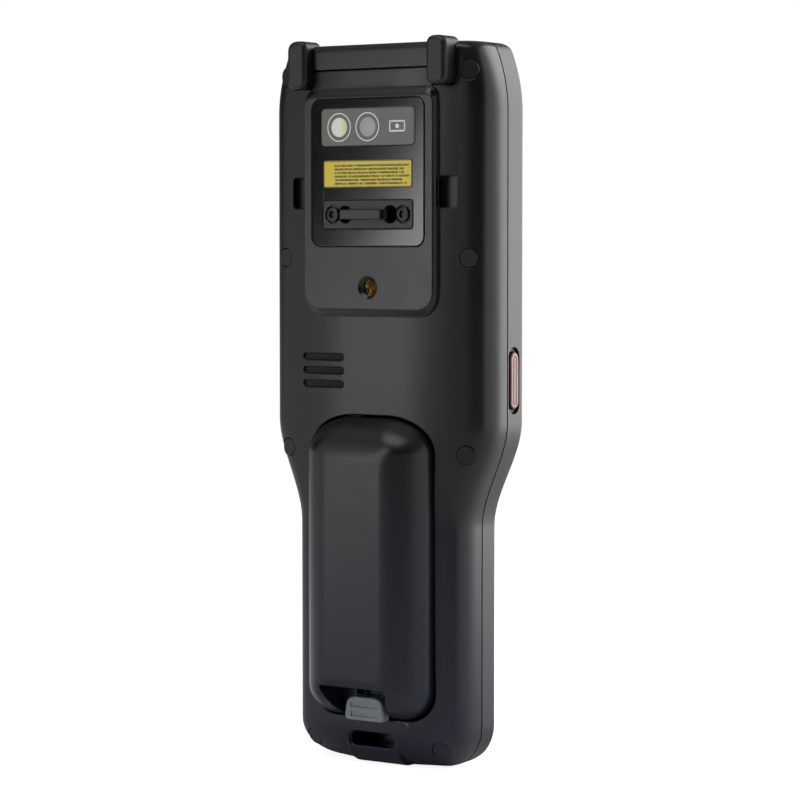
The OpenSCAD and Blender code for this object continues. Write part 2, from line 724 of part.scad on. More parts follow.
module vibration_motor() color(metal_color) at_seam()
    translate([speaker_x - 8, rear_depth - wall - motor_r - 0.2, grip_len + 27])
        rotate([0, 90, 0]) cylinder(h = 12, r = motor_r);

// ---- Battery pack ----

// The pack's outside: a rounded block in the well, drawn in on all sides to the flat of its back
module pack_form(inset) {
    w = pack_w - 2 * inset;
    l = pack_len - 2 * inset;
    top = hump_y - inset;
    rim = rear_depth + rim_rise;
    draw = [[0, rim - 0.1], [0.6, rim + 0.6 - inset / 2], [hump_inset - hump_round, top - 1.1],
        [hump_inset - 0.4, top - 0.35], [hump_inset + 0.8, top]];
    translate([0, 0, pack_z + inset]) {
        along_y(pack_in + (inset > 0 ? -1 : 0), rim - 0.05)
            card(w, l, pack_r_low - inset, pack_r_top - inset);
        hull() for (s = draw)
            let (r_low = max(2.2, pack_r_low - inset - s[0]), r_top = max(2.6, pack_r_top - inset - s[0]))
            translate([0, 0, s[0]]) along_y(s[1] - 0.01, s[1])
                card(w - 2 * s[0], l - 2 * s[0], r_low, r_top, $fn = 32);
    }
}

// The finger scoop that the latch lies in
module scoop_cut() hull() {
    translate([0, hump_y + 0.5, 0]) scoop_face(13.6, 9.4);
    translate([0, scoop_floor, 0]) scoop_face(12, 8.6);
}
module scoop_face(top_half, low_half) rotate([90, 0, 0]) linear_extrude(0.01) polygon([
    [-low_half, pack_z - 1], [low_half, pack_z - 1], [top_half, scoop_top - 0.6],
    [top_half - 0.6, scoop_top], [-top_half + 0.6, scoop_top], [-top_half, scoop_top - 0.6]]);

module stem_slot(grow) translate([-5 - grow, rear_depth - 3.5 - grow, latch_z + 2.8 - grow])
    cube([10 + 2 * grow, 6, 5 + 2 * grow + (grow > 0 ? latch_travel : 0)]);

module battery_case() color("#3a3b3f") at_seam() difference() {
    union() {
        difference() {
            pack_form(0);
            pack_form(pack_wall);
        }
        intersection() {
            pack_form(0.2);
            translate([-16, pack_in + cover_t + 0.1, pack_z]) cube([32, 30, scoop_top - pack_z + 1.6]);
        }
        both_sides() translate([tab_x - tab_w / 2, tab_y, pack_top - 1])
            cube([tab_w, tab_t, 1 + tab_len + pack_gap - gap]);
    }
    scoop_cut();
    stem_slot(0.15);
    along_x(-pack_w / 2, pack_w / 2) polygon([[pack_in - 1, pack_z - 1], [pack_in - 1, pack_z + swing_relief],
        [pack_in, pack_z + swing_relief], [pack_in + 7, pack_z], [pack_in + 7, pack_z - 1]]);
}

module battery_inner_cover() color("#2c2d30") at_seam() difference() {
    inset = pack_wall + gap;
    translate([0, 0, pack_z + inset]) along_y(pack_in, pack_in + cover_t)
        card(pack_w - 2 * inset, pack_len - 2 * inset, pack_r_low - pack_wall, pack_r_top - pack_wall);
    contact_row(pack_in - 1, pack_in + 0.5, 1.5);
}

module battery_cells() color("#3f6fa8") at_seam() for (s = [-1, 1])
    translate([s * cell_x, cell_y, cell_z]) cylinder(h = cell_len, r = cell_d / 2);

module battery_contacts() color("#d8b04a") at_seam() contact_row(pack_in + 0.05, pack_in + 0.5, 1.4);

// The latch: a ribbed slider on a stem, its lower edge over the housing's lip
module latch_outline(inset) hull() {
    for (s = [-1, 1]) {
        translate([s * (latch_w / 2 - 1.6), latch_z + 1.6]) circle(1.6 - inset, $fn = 32);
        translate([s * (latch_w / 2 - 3.2), latch_z + latch_len - 2.4]) circle(2.4 - inset, $fn = 32);
    }
}

module battery_latch() color("#9ea4a5") at_seam() {
    difference() {
        union() {
            along_y(scoop_floor + 0.25, latch_face - 0.5) latch_outline(0);
            along_y(latch_face - 0.51, latch_face) latch_outline(0.5);
        }
        for (v = [2.2, 5]) translate([0, latch_face, latch_z + v]) along_x(-5.4, 5.4)
            polygon([[-0.5, 0.1], [1, 0.1], [1, 1.2], [-0.1, 1.2]]);
    }
    stem_slot(0);
}

// The latch's coil spring, from the latch to the scoop's upper wall
module latch_spring() color(metal_color) at_seam() {
    low = latch_z + latch_len + 0.3;
    high = scoop_top - 0.3;
    sides = 8;
    rings = spring_turns * 12;
    r = spring_d / 2;
    points = [for (k = [0 : rings], i = [0 : sides - 1])
        let (turn = 360 * spring_turns * k / rings, a = -360 * i / sides, out = r + spring_wire / 2 * cos(a))
        [out * cos(turn), out * sin(turn), (high - low) * k / rings + spring_wire / 2 * sin(a)]];
    translate([0, scoop_floor + 1.7, low]) polyhedron(points = points, faces = tube_faces(rings + 1, sides));
}

// ---- Side scan buttons ----

module button(from, to, grow) translate([0, button_d, button_z])
    along_x(head_w / 2 + from, head_w / 2 + to) pill(button_len + 2 * grow, button_w + 2 * grow);

module button_core() difference() {
    union() {
        button(-wall - 0.6, button_proud - 0.4, 0);
        button(button_proud - 0.41, button_proud, -1);
        translate([0, button_d, button_z]) along_x(head_w / 2 - wall - button_stop, head_w / 2 - wall - 0.5)
            pill(button_len + 2, button_w);
    }
    difference() {
        button(button_proud - 0.9, button_proud + 1, -0.45);
        button(button_proud - 1, button_proud + 2, -1.15);
    }
}

module button_trim() difference() {
    button(button_proud - 0.9, button_proud - 0.05, -0.45);
    button(button_proud - 1, button_proud + 2, -1.15);
}

module scan_button_right() color("#8a8c8e") at_seam() button_core();
module scan_button_left() color("#8a8c8e") at_seam() mirror([1, 0, 0]) button_core();
module button_ring_right() color("#c65a55") at_seam() button_trim();
module button_ring_left() color("#c65a55") at_seam() mirror([1, 0, 0]) button_trim();

module side_switches() color(metal_color) at_seam() both_sides()
    translate([board_w / 2 - 3, board_y + pcb_t, button_z - 3])
        cube([head_w / 2 - wall - button_stop - button_travel - 0.3 - board_w / 2 + 3, 2.6, 6]);

// ---- Keys ----

// Each key: name, place across, height, width, height of the cap, corner radius
key_names = ["1", "2", "3", "back", "4", "5", "6", "shift", "7", "8", "9", "power",
    "star", "0", "hash", "enter"];
key_low = [for (r = [0 : 3]) key_rows_z - r * key_pitch_z];
soft_z = grip_len - 30;
key_sites = concat([
    ["scan", 0, soft_z + 1, 15, 13, 5], ["soft_left", -17, soft_z + 6, 11, 6, 2.4],
    ["soft_right", 17, soft_z + 6, 11, 6, 2.4], ["navigation", 0, soft_z + 15, 26, 8.4, 4]],
    [for (i = [0 : 15])
        [key_names[i], (i % 4 - 1.5) * key_pitch_x, key_low[floor(i / 4)], key_size[0], key_size[1], 2]]);

// A key: a cap with a stepped crown and a flange that keeps it in
module key(name) color(name == "scan" ? "#c65a55" : key_color) at_seam()
    for (k = key_sites) if (k[0] == name) translate([k[1], 0, k[2]]) {
        along_y(key_skin + gap, key_skin + gap + key_flange) middle_card([k[3] + 1.2, k[4] + 1.2], k[5]);
        along_y(key_cap_y + 0.5, key_skin + gap + 0.01) middle_card([k[3], k[4]], k[5]);
        along_y(key_cap_y, key_cap_y + 0.51) middle_card([k[3] - 1, k[4] - 1], k[5] - 0.5);
    }

rear_housing();
front_housing();
housing_seal();
scan_hood();
bumper_left();
bumper_right();
scan_window();
scan_engine();
camera_panel();
camera_window();
camera_module();
flash_led();
label_plate();
strap_bar();
strap_screws();
threaded_insert();
case_screws();
screw_plugs();
loudspeaker();
speaker_mesh();
main_board();
display_panel();
touch_glass();
keypad_board();
key_mat();
battery_case();
battery_inner_cover();
battery_cells();
battery_contacts();
well_contacts();
battery_latch();
latch_spring();
dock_connector();
scan_button_left();
scan_button_right();
button_ring_left();
button_ring_right();
side_switches();
vibration_motor();
key("scan");  // key_scan
key("soft_left");  // key_soft_left
key("soft_right");  // key_soft_right
key("navigation");  // key_navigation
key("1");  // key_1
key("2");  // key_2
key("3");  // key_3
key("4");  // key_4
key("5");  // key_5
key("6");  // key_6
key("7");  // key_7
key("8");  // key_8
key("9");  // key_9
key("0");  // key_0
key("star");  // key_star
key("hash");  // key_hash
key("power");  // key_power
key("back");  // key_back
key("shift");  // key_shift
key("enter");  // key_enter
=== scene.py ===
import json
import math

import bmesh
import bpy
from mathutils import Matrix, Quaternion, Vector


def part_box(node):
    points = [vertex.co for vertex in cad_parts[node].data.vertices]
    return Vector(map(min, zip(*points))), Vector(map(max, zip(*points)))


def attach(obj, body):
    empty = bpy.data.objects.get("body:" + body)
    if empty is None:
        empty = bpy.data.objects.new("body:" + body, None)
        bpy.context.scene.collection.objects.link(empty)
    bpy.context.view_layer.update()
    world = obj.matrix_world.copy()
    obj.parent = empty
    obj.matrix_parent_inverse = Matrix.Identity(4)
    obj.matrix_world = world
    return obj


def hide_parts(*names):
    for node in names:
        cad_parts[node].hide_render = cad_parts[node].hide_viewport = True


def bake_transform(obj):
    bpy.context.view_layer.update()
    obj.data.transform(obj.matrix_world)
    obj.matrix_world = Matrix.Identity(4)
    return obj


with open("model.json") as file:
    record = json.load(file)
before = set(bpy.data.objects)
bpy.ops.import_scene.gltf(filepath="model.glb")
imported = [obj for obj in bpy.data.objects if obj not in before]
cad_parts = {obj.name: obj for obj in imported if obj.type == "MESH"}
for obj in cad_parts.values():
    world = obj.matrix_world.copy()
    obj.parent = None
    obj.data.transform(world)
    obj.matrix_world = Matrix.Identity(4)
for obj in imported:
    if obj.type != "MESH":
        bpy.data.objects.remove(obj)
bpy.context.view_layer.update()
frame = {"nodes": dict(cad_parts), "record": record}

mm = 0.001
leastRound = 0.05      # no corner gets sharper than this
sealLow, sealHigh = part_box("housing_seal")
seamY = (sealLow.y + sealHigh.y) / 2      # every depth below is measured from the seam of the housing
print("frame loaded:", len(frame["nodes"]), "nodes, seam at", round(seamY / mm, 2), "mm")

# outlines: each returns a function of the inset, so that edges can be rounded


def quarterTurn(steps):      # the angles of a quarter of a circle
    return [math.pi / 2 * i / steps for i in range(steps + 1)]


def card(width, height, lowRound, topRound=None, lift=0.0, steps=7, spread=1.0):
    topRound = lowRound if topRound is None else topRound

    def outline(inset):
        half, low, high = width / 2 - inset, lift + inset, lift + height - inset
        points = []
        for side, end, corner, start in ((1, high, topRound, 0), (-1, high, topRound, 90),
                                         (-1, low, lowRound, 180), (1, low, lowRound, 270)):
            r = max(leastRound, min(corner - inset, half, (high - low) / 2))
            up = 1 if end == high else -1
            wide = min(half - leastRound, r * spread) if up > 0 else r      # the upper corners can be flatter
            for i in range(steps + 1):
                a = math.radians(start + 90 * i / steps)
                points.append((side * (half - wide) + wide * math.cos(a), end - up * r + r * math.sin(a)))
        return points
    return outline


def midCard(width, height, r, steps=7):
    return card(width, height, r, lift=-height / 2, steps=steps)


def pill(width, height):
    return midCard(width, height, min(width, height) / 2, steps=12)


def disc(radius, steps=48, lobes=0.0):
    def outline(inset):
        points = []
        for i in range(steps):
            a = 2 * math.pi * i / steps
            r = radius - inset + lobes * math.cos(6 * a)
            points.append((r * math.cos(a), r * math.sin(a)))
        return points
    return outline


def softened(points, radii, steps=5):      # a polygon with its corners rounded
    radii = radii if hasattr(radii, "__len__") else [radii] * len(points)
    result = []
    for i, here in enumerate(points):
        p = Vector(here)
        before, after = Vector(points[i - 1]) - p, Vector(points[(i + 1) % len(points)]) - p
        r = min(radii[i], 0.48 * before.length, 0.48 * after.length)
        start, end = p + before.normalized() * r, p + after.normalized() * r
        for k in range(steps + 1):
            t = k / steps
            result.append(tuple(start * (1 - t) ** 2 + p * 2 * t * (1 - t) + end * t * t))
    return result


def traced(points):      # a counter-clockwise polygon, moved inwards by the inset
    def outline(inset):
        result = []
        for i, here in enumerate(points):
            a = (Vector(here) - Vector(points[i - 1])).normalized()
            b = (Vector(points[(i + 1) % len(points)]) - Vector(here)).normalized()
            first, second = Vector((-a.y, a.x)), Vector((-b.y, b.x))
            result.append(tuple(Vector(here) + (first + second) * inset / (1 + first.dot(second))))
        return result
    return outline


def between(first, second):      # the inset runs from 0 at the first polygon to 1 at the second
    return lambda t: [(a[0] * (1 - t) + b[0] * t, a[1] * (1 - t) + b[1] * t) for a, b in zip(first, second)]


# profiles: lists of (inset, level), from the lowest level to the highest


def blockProfile(low, high, lowEdge=0.0, highEdge=0.0, steps=5):
    profile = [(0, low)] if not lowEdge else []
    for a in quarterTurn(steps) if lowEdge else []:
        profile.append((lowEdge * (1 - math.sin(a)), low + lowEdge * (1 - math.cos(a))))
    for a in quarterTurn(steps) if highEdge else []:
        profile.append((highEdge * (1 - math.cos(a)), high - highEdge * (1 - math.sin(a))))
    return profile if highEdge else profile + [(0, high)]


rimTurn = math.radians(72)      # the arc of a hole's rim, which then goes on as a slope


def holeProfile(low, high, rim, over=1.0, floorEdge=0.0, steps=4):      # has a round rim at high
    profile = blockProfile(low, low + (high - low) * 0.3, floorEdge)
    for i in range(steps + 1):
        a = rimTurn * i / steps
        profile.append((-rim * (1 - math.cos(a)), high - rim + rim * math.sin(a)))
    rise = 0.08 * rim + 0.02
    wide = profile[-1][0] - 3 * rise
    return profile + [(wide, high + rise), (wide, high + over)]


# seats: matrices from (across, up, out) to (x, depth, height)


def seat(origin, across, up, out):
    m = Matrix.Identity(4)
    for row in range(3):
        m[row][0], m[row][1], m[row][2], m[row][3] = across[row], up[row], out[row], origin[row]
    return m


def backSeat(x=0.0, z=0.0, d=0.0):
    return seat((x, d, z), (1, 0, 0), (0, 0, 1), (0, 1, 0))


def frontSeat(x=0.0, z=0.0, d=0.0):
    return seat((x, d, z), (1, 0, 0), (0, 0, 1), (0, -1, 0))


def topSeat(x=0.0, d=0.0, z=0.0):
    return seat((x, d, z), (1, 0, 0), (0, 1, 0), (0, 0, 1))


def sideSeat(side, d, z):
    return seat((0, d, z), (0, 1, 0), (0, 0, 1), (side, 0, 0))


# meshes


def newPiece(name, points, faces):
    mesh = bpy.data.meshes.new(name)
    mesh.from_pydata([(p[0] * mm, seamY + p[1] * mm, p[2] * mm) for p in points], [], faces)
    build = bmesh.new()
    build.from_mesh(mesh)
    bmesh.ops.recalc_face_normals(build, faces=build.faces)
    build.to_mesh(mesh)
    build.free()
    piece = bpy.data.objects.new(name, mesh)
    bpy.context.scene.collection.objects.link(piece)
    return piece


def loft(name, rings, closed=False):
    n, m = len(rings[0]), len(rings)
    points = [p for ring in rings for p in ring]
    last = m if closed else m - 1
    faces = [(k * n + i, k * n + (i + 1) % n, (k + 1) % m * n + (i + 1) % n, (k + 1) % m * n + i)
             for k in range(last) for i in range(n)]
    if not closed:
        faces += [tuple(reversed(range(n))), tuple(range((m - 1) * n, m * n))]
    return newPiece(name, points, faces)


def stack(name, at, outline, profile):      # a block or a hole: the outline at each level of the profile
    return loft(name, [[at @ Vector((u, v, level)) for u, v in outline(inset)] for inset, level in profile])


def onBack(name, outline, profile, x=0.0, z=0.0, least=0.0):      # its rim follows the curved back
    rings = []
    for inset, level in profile:
        points = [(x + u, z + v) for u, v in outline(inset)]
        follow = max(least, min(1.0, (level - profile[0][1]) / (backDepth - 1 - profile[0][1])))
        rings.append([(u, level - follow * surfaceDrop(u, v), v) for u, v in points])
    return loft(name, rings)


def joined(name, pieces):
    build = bmesh.new()
    for piece in pieces:
        build.from_mesh(piece.data)
        bpy.data.objects.remove(piece)
    mesh = bpy.data.meshes.new(name)
    build.to_mesh(mesh)
    build.free()
    piece = bpy.data.objects.new(name, mesh)
    bpy.context.scene.collection.objects.link(piece)
    return piece


def combine(target, others, operation="DIFFERENCE"):
    for other in others:
        change = target.modifiers.new("change", "BOOLEAN")
        change.operation = operation
        change.solver = "MANIFOLD"
        change.object = other
    bpy.context.view_layer.update()
    mesh = bpy.data.meshes.new_from_object(target.evaluated_get(bpy.context.evaluated_depsgraph_get()))
    target.modifiers.clear()
    target.data = mesh
    for other in others:
        bpy.data.objects.remove(other)
    return target


def finishPiece(piece, body, nodes, slot, angle=32.0, look=None):      # edges past the angle stay sharp
    for polygon in piece.data.polygons:
        polygon.use_smooth = True
    build = bmesh.new()
    build.from_mesh(piece.data)
    for edge in build.edges:
        edge.smooth = len(edge.link_faces) != 2 or edge.calc_face_angle(0.0) < math.radians(angle)
    build.to_mesh(piece.data)
    build.free()
    weigh = piece.modifiers.new("weighted normals", "WEIGHTED_NORMAL")
    weigh.keep_sharp = True
    weigh.weight = 70
    if body:
        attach(piece, body)
    if nodes:
        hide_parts(*nodes)
    piece.data.materials.clear()
    piece.data.materials.append(look or finishes[slot])
    return piece


# shader nodes


class Wire:      # one output of a node; sums and products of wires add Math nodes
    def __init__(self, shade, socket):
        self.shade = shade
        self.socket = socket

    def run(self, operation, *others):
        values = {i: value for i, value in enumerate(others)}
        return self.shade.add("ShaderNodeMath", {"operation": operation}, values)

    def __add__(self, other):
        return self.run("ADD", self, other)

    def __sub__(self, other):
        return self.run("SUBTRACT", self, other)

    def __rsub__(self, other):
        return self.run("SUBTRACT", other, self)

    def __mul__(self, other):
        return self.run("MULTIPLY", self, other)

    def __truediv__(self, other):
        return self.run("DIVIDE", self, other)

    def __gt__(self, other):
        return self.run("GREATER_THAN", self, other)

    def __lt__(self, other):
        return self.run("LESS_THAN", self, other)

    __radd__ = __add__
    __rmul__ = __mul__

    def limit(self, low=0.0, high=1.0):
        return self.run("MINIMUM", self.run("MAXIMUM", self, low), high)

    def ramp(self, low, high):      # 0 at low, 1 at high, eased
        span = {"Value": self, "From Min": low, "From Max": high}
        return self.shade.add("ShaderNodeMapRange", {"interpolation_type": "SMOOTHSTEP"}, span)


inputNames = {"colour": "Base Color", "rough": "Roughness", "metal": "Metallic", "normal": "Normal",
              "coat": "Coat Weight", "coatRough": "Coat Roughness"}


def pick(sockets, key):      # a socket by its place or name, among those in use
    shown = [s for s in sockets if s.enabled]
    return shown[key] if isinstance(key, int) else next(s for s in shown if s.name == key)


class Shade:      # the node tree of one finish, or of the world
    def __init__(self, name, owners=None):
        self.material = (bpy.data.materials if owners is None else owners).new(name)
        self.material.use_nodes = True
        self.tree = self.material.node_tree
        self.surface = self.tree.nodes.get("Principled BSDF")

    def fill(self, socket, value):
        if isinstance(value, Wire):
            self.tree.links.new(value.socket, socket)
        else:
            socket.default_value = value

    def add(self, kind, settings=None, values=None, out=0):
        node = self.tree.nodes.new(kind)
        for key, value in (settings or {}).items():
            setattr(node, key, value)
        for key, value in (values or {}).items():
            self.fill(pick(node.inputs, key), value)
        return Wire(self, pick(node.outputs, out))

    def place(self):
        return self.add("ShaderNodeTexCoord", out="Object")

    def ray(self, kind):
        return self.add("ShaderNodeLightPath", out="Is " + kind + " Ray")

    def finish(self, shader):
        out = next(node for node in self.tree.nodes if node.type.startswith("OUTPUT"))
        self.tree.links.new(shader.socket, out.inputs["Surface"])
        return self.material

    def along(self, axis):
        return self.add("ShaderNodeSeparateXYZ", None, {0: self.place()}, out=axis)

    def noise(self, size, detail=3.0, rough=0.55, stretch=None):      # size in metres
        where = self.place()
        if stretch:
            where = self.add("ShaderNodeVectorMath", {"operation": "MULTIPLY"}, {0: where, 1: stretch})
        values = {"Vector": where, "Scale": 1 / size, "Detail": detail, "Roughness": rough}
        return self.add("ShaderNodeTexNoise", None, values, out=0)

    def blend(self, amount, first, second):
        return self.add("ShaderNodeMix", {"data_type": "RGBA"}, {"Factor": amount, "A": first, "B": second})

    def relief(self, height, depth, strength=1.0, under=None):
        values = {"Height": height, "Distance": depth, "Strength": strength}
        if under is not None:
            values["Normal"] = under
        return self.add("ShaderNodeBump", None, values)

    def set(self, **values):
        for key, value in values.items():
            self.fill(self.surface.inputs[inputNames[key]], value)
        return self.material

    def facing(self, where):      # 1 towards the camera and -1 away from it
        settings = {"operation": "DOT_PRODUCT"}
        return self.add("ShaderNodeVectorMath", settings, {0: where, 1: direction(0, 0)}, "Value")


def tone(colour, factor=1.0):
    return (colour[0] * factor, colour[1] * factor, colour[2] * factor, 1.0)


dustSize, cloudSize = 0.0008, 0.02      # metres
hairDepth = 0.00001      # of the finest scratches
alongZ, alongX = (1.0, 1.0, 0.05), (0.05, 1.0, 1.0)      # noise drawn out along one axis
usualLook = {"grain": 0.00035, "vary": 0.12, "dust": 0.10, "bite": 0.3}


def moulded(name, look):      # plastic or rubber: cloudy colour, fine grain, some dust, polished high places
    look = {**usualLook, **look}
    shade = Shade(name)
    cloud = shade.noise(cloudSize, 4)
    grain = shade.noise(look["grain"], 2, 0.6)
    dust = shade.noise(dustSize, 3, 0.6).ramp(0.66, 0.80) * shade.noise(0.012, 3).ramp(0.45, 0.65)
    base, vary = look["colour"], look["vary"]
    colour = shade.blend(cloud, tone(base, 1 - vary), tone(base, 1 + vary))
    colour = shade.blend(dust * look["dust"], colour, tone([0.5 * c + 0.10 for c in base]))
    rough = cloud * 0.05 + grain * 0.06 + dust * 0.12 + (look["rough"] - 0.055)
    if "rub" in look:      # an axis and the levels between which use has polished the surface
        axis, low, high = look["rub"]
        worn = shade.along(axis).ramp(low * mm, high * mm) * shade.noise(0.006, 4, 0.6).ramp(0.35, 0.70)
        colour = shade.blend(worn * 0.15, colour, tone(base, 1.5))
        rough = rough - worn * 0.03
    if "foot" in look:      # painted light: a second, bluish tone from one level on an axis to another, standing in for bluish light from below
        axis, low, high, second = look["foot"]
        colour = shade.blend(shade.along(axis).ramp(low * mm, high * mm), colour, tone(second))
    normal = shade.relief(grain, 0.00003, look["bite"])
    scratch = shade.noise(0.0011, 3, 0.7, stretch=alongZ).ramp(0.70, 0.78)
    return shade.set(colour=colour, rough=rough, normal=shade.relief(scratch, hairDepth, 0.12, normal))


def metal(name, look):      # stained a little
    shade = Shade(name)
    line = shade.noise(0.0004, 3, 0.6)
    stain = shade.noise(0.004, 5, 0.6).ramp(0.45, 0.7)
    stained = look.get("stain", 0.5)
    colour = shade.blend(stain * stained, tone(look["colour"]), tone(look["dark"]))
    rough = line * 0.15 + stain * 0.12 + look["rough"]
    normal = shade.relief(line, 0.00002, 0.3)
    return shade.set(colour=colour, rough=rough, normal=normal, metal=1.0 - stain * stained * 0.3)


def glossPanel(name, look):      # polished black plastic with hairlines and a little dust
    shade = Shade(name)
    hair = shade.noise(0.0012, 3, 0.7, stretch=alongZ).ramp(0.66, 0.74)
    cross = shade.noise(0.0014, 3, 0.7, stretch=alongX).ramp(0.68, 0.76)
    dust = shade.noise(0.0006, 2).ramp(0.70, 0.80)
    smear = shade.noise(0.012, 4, 0.6)
    colour = shade.blend(dust * 0.12, tone(look["colour"]), tone((0.25, 0.25, 0.24)))
    rough = smear * 0.04 + hair * 0.06 + cross * 0.05 + dust * 0.2 + look["rough"]
    return shade.set(colour=colour, rough=rough, normal=shade.relief(hair + cross, hairDepth, 0.12))


def clearWindow(name, look):      # a tinted window that shows as a solid tone, with faint smears
    shade = Shade(name)
    smear = shade.noise(0.009, 4, 0.6)
    dust = shade.noise(0.0007, 2).ramp(0.70, 0.80)
    colour = shade.blend(smear, tone(look["colour"], 0.88), tone(look["colour"], 1.1))
    if "side" in look:      # a second tone beyond a place across
        start, end, second = look["side"]
        colour = shade.blend(shade.along("X").ramp(start * mm, end * mm), colour, tone(second))
    colour = shade.blend(dust * 0.3, colour, tone((0.4, 0.4, 0.38)))
    rough = smear * 0.08 + dust * 0.25 + look["rough"]
    normal = shade.relief(smear, 0.00003, 0.1)
    return shade.set(colour=colour, rough=rough, normal=normal, coat=look["coat"], coatRough=0.08)


def printedLabel(name, look):      # yellow film with a dark frame and plain ruled bars
    shade = Shade(name)
    paper = shade.noise(0.004, 4)
    fine = shade.noise(0.0003, 2)
    colour = shade.blend(paper, tone(look["colour"], 0.92), tone(look["colour"], 1.06))
    across, up = shade.along("X"), shade.along("Z")
    halfW, halfH, midZ = look["size"][0] / 2 * mm, look["size"][1] / 2 * mm, look["z"] * mm
    edge = (across.run("ABSOLUTE", across) > halfW - look["frame"] * mm)
    edge = edge.run("MAXIMUM", edge, (up - midZ).run("ABSOLUTE", up - midZ) > halfH - look["frame"] * mm)
    line = ((midZ + halfH - look["top"] - up) / look["pitch"]).limit(0, look["rows"] - 0.001)
    row = line.run("FLOOR", line)
    share = line - row      # the place within a row, from 0 to 1
    length = row.run("SINE", row * 2.4 + 1) * 0.04 + 0.93      # each bar ends at a place of its own
    written = (halfW - across < length * (2 * halfW)) * (halfW - across > look["from"] * mm)
    crumbs = shade.noise(0.0006, 2, stretch=(1.0, 1.0, 0.5)).ramp(0.36, 0.44)
    bars = (share > 0.18) * (share < 0.76) * written * crumbs * (line < look["rows"] - 0.01)
    colour = shade.blend(bars * 0.85, colour, tone(look["ink"]))
    colour = shade.blend(edge * 0.8, colour, tone(look["ink"]))
    rough = fine * 0.1 + paper * 0.1 + 0.32
    return shade.set(colour=colour, rough=rough, normal=shade.relief(fine, hairDepth, 0.15))


def wovenMesh(name, look):      # fine black cloth behind the slots
    shade = Shade(name)
    threads = []
    for axis in ("X", "Z"):
        values = {"Vector": shade.place(), "Scale": look["scale"]}
        threads.append(shade.add("ShaderNodeTexWave", {"bands_direction": axis}, values, 1))
    weave = threads[0].run("MAXIMUM", *threads)
    colour = shade.blend(weave, tone(look["colour"], 0.3), tone(look["colour"], 1.6))
    return shade.set(colour=colour, rough=0.85 - weave * 0.2, normal=shade.relief(weave, 0.00005, 0.5))


def circuitBoard(name, look):      # green solder mask with tracks and pads
    shade = Shade(name)
    cells = shade.add("ShaderNodeTexVoronoi", {"distance": "MANHATTAN", "feature": "F1"},
                      {"Vector": shade.place(), "Scale": look["scale"]}, 0)
    tracks = cells.ramp(0.30, 0.34) * (1.0 - cells.ramp(0.36, 0.40))
    cloud = shade.noise(0.01, 3)
    colour = shade.blend(cloud, tone(look["colour"], 0.85), tone(look["colour"], 1.15))
    colour = shade.blend(tracks * 0.6, colour, tone(look["track"]))
    return shade.set(colour=colour, rough=cloud * 0.1 + 0.35, normal=shade.relief(tracks, 0.00003, 0.4))


# finishes, one for each of the record's material slots

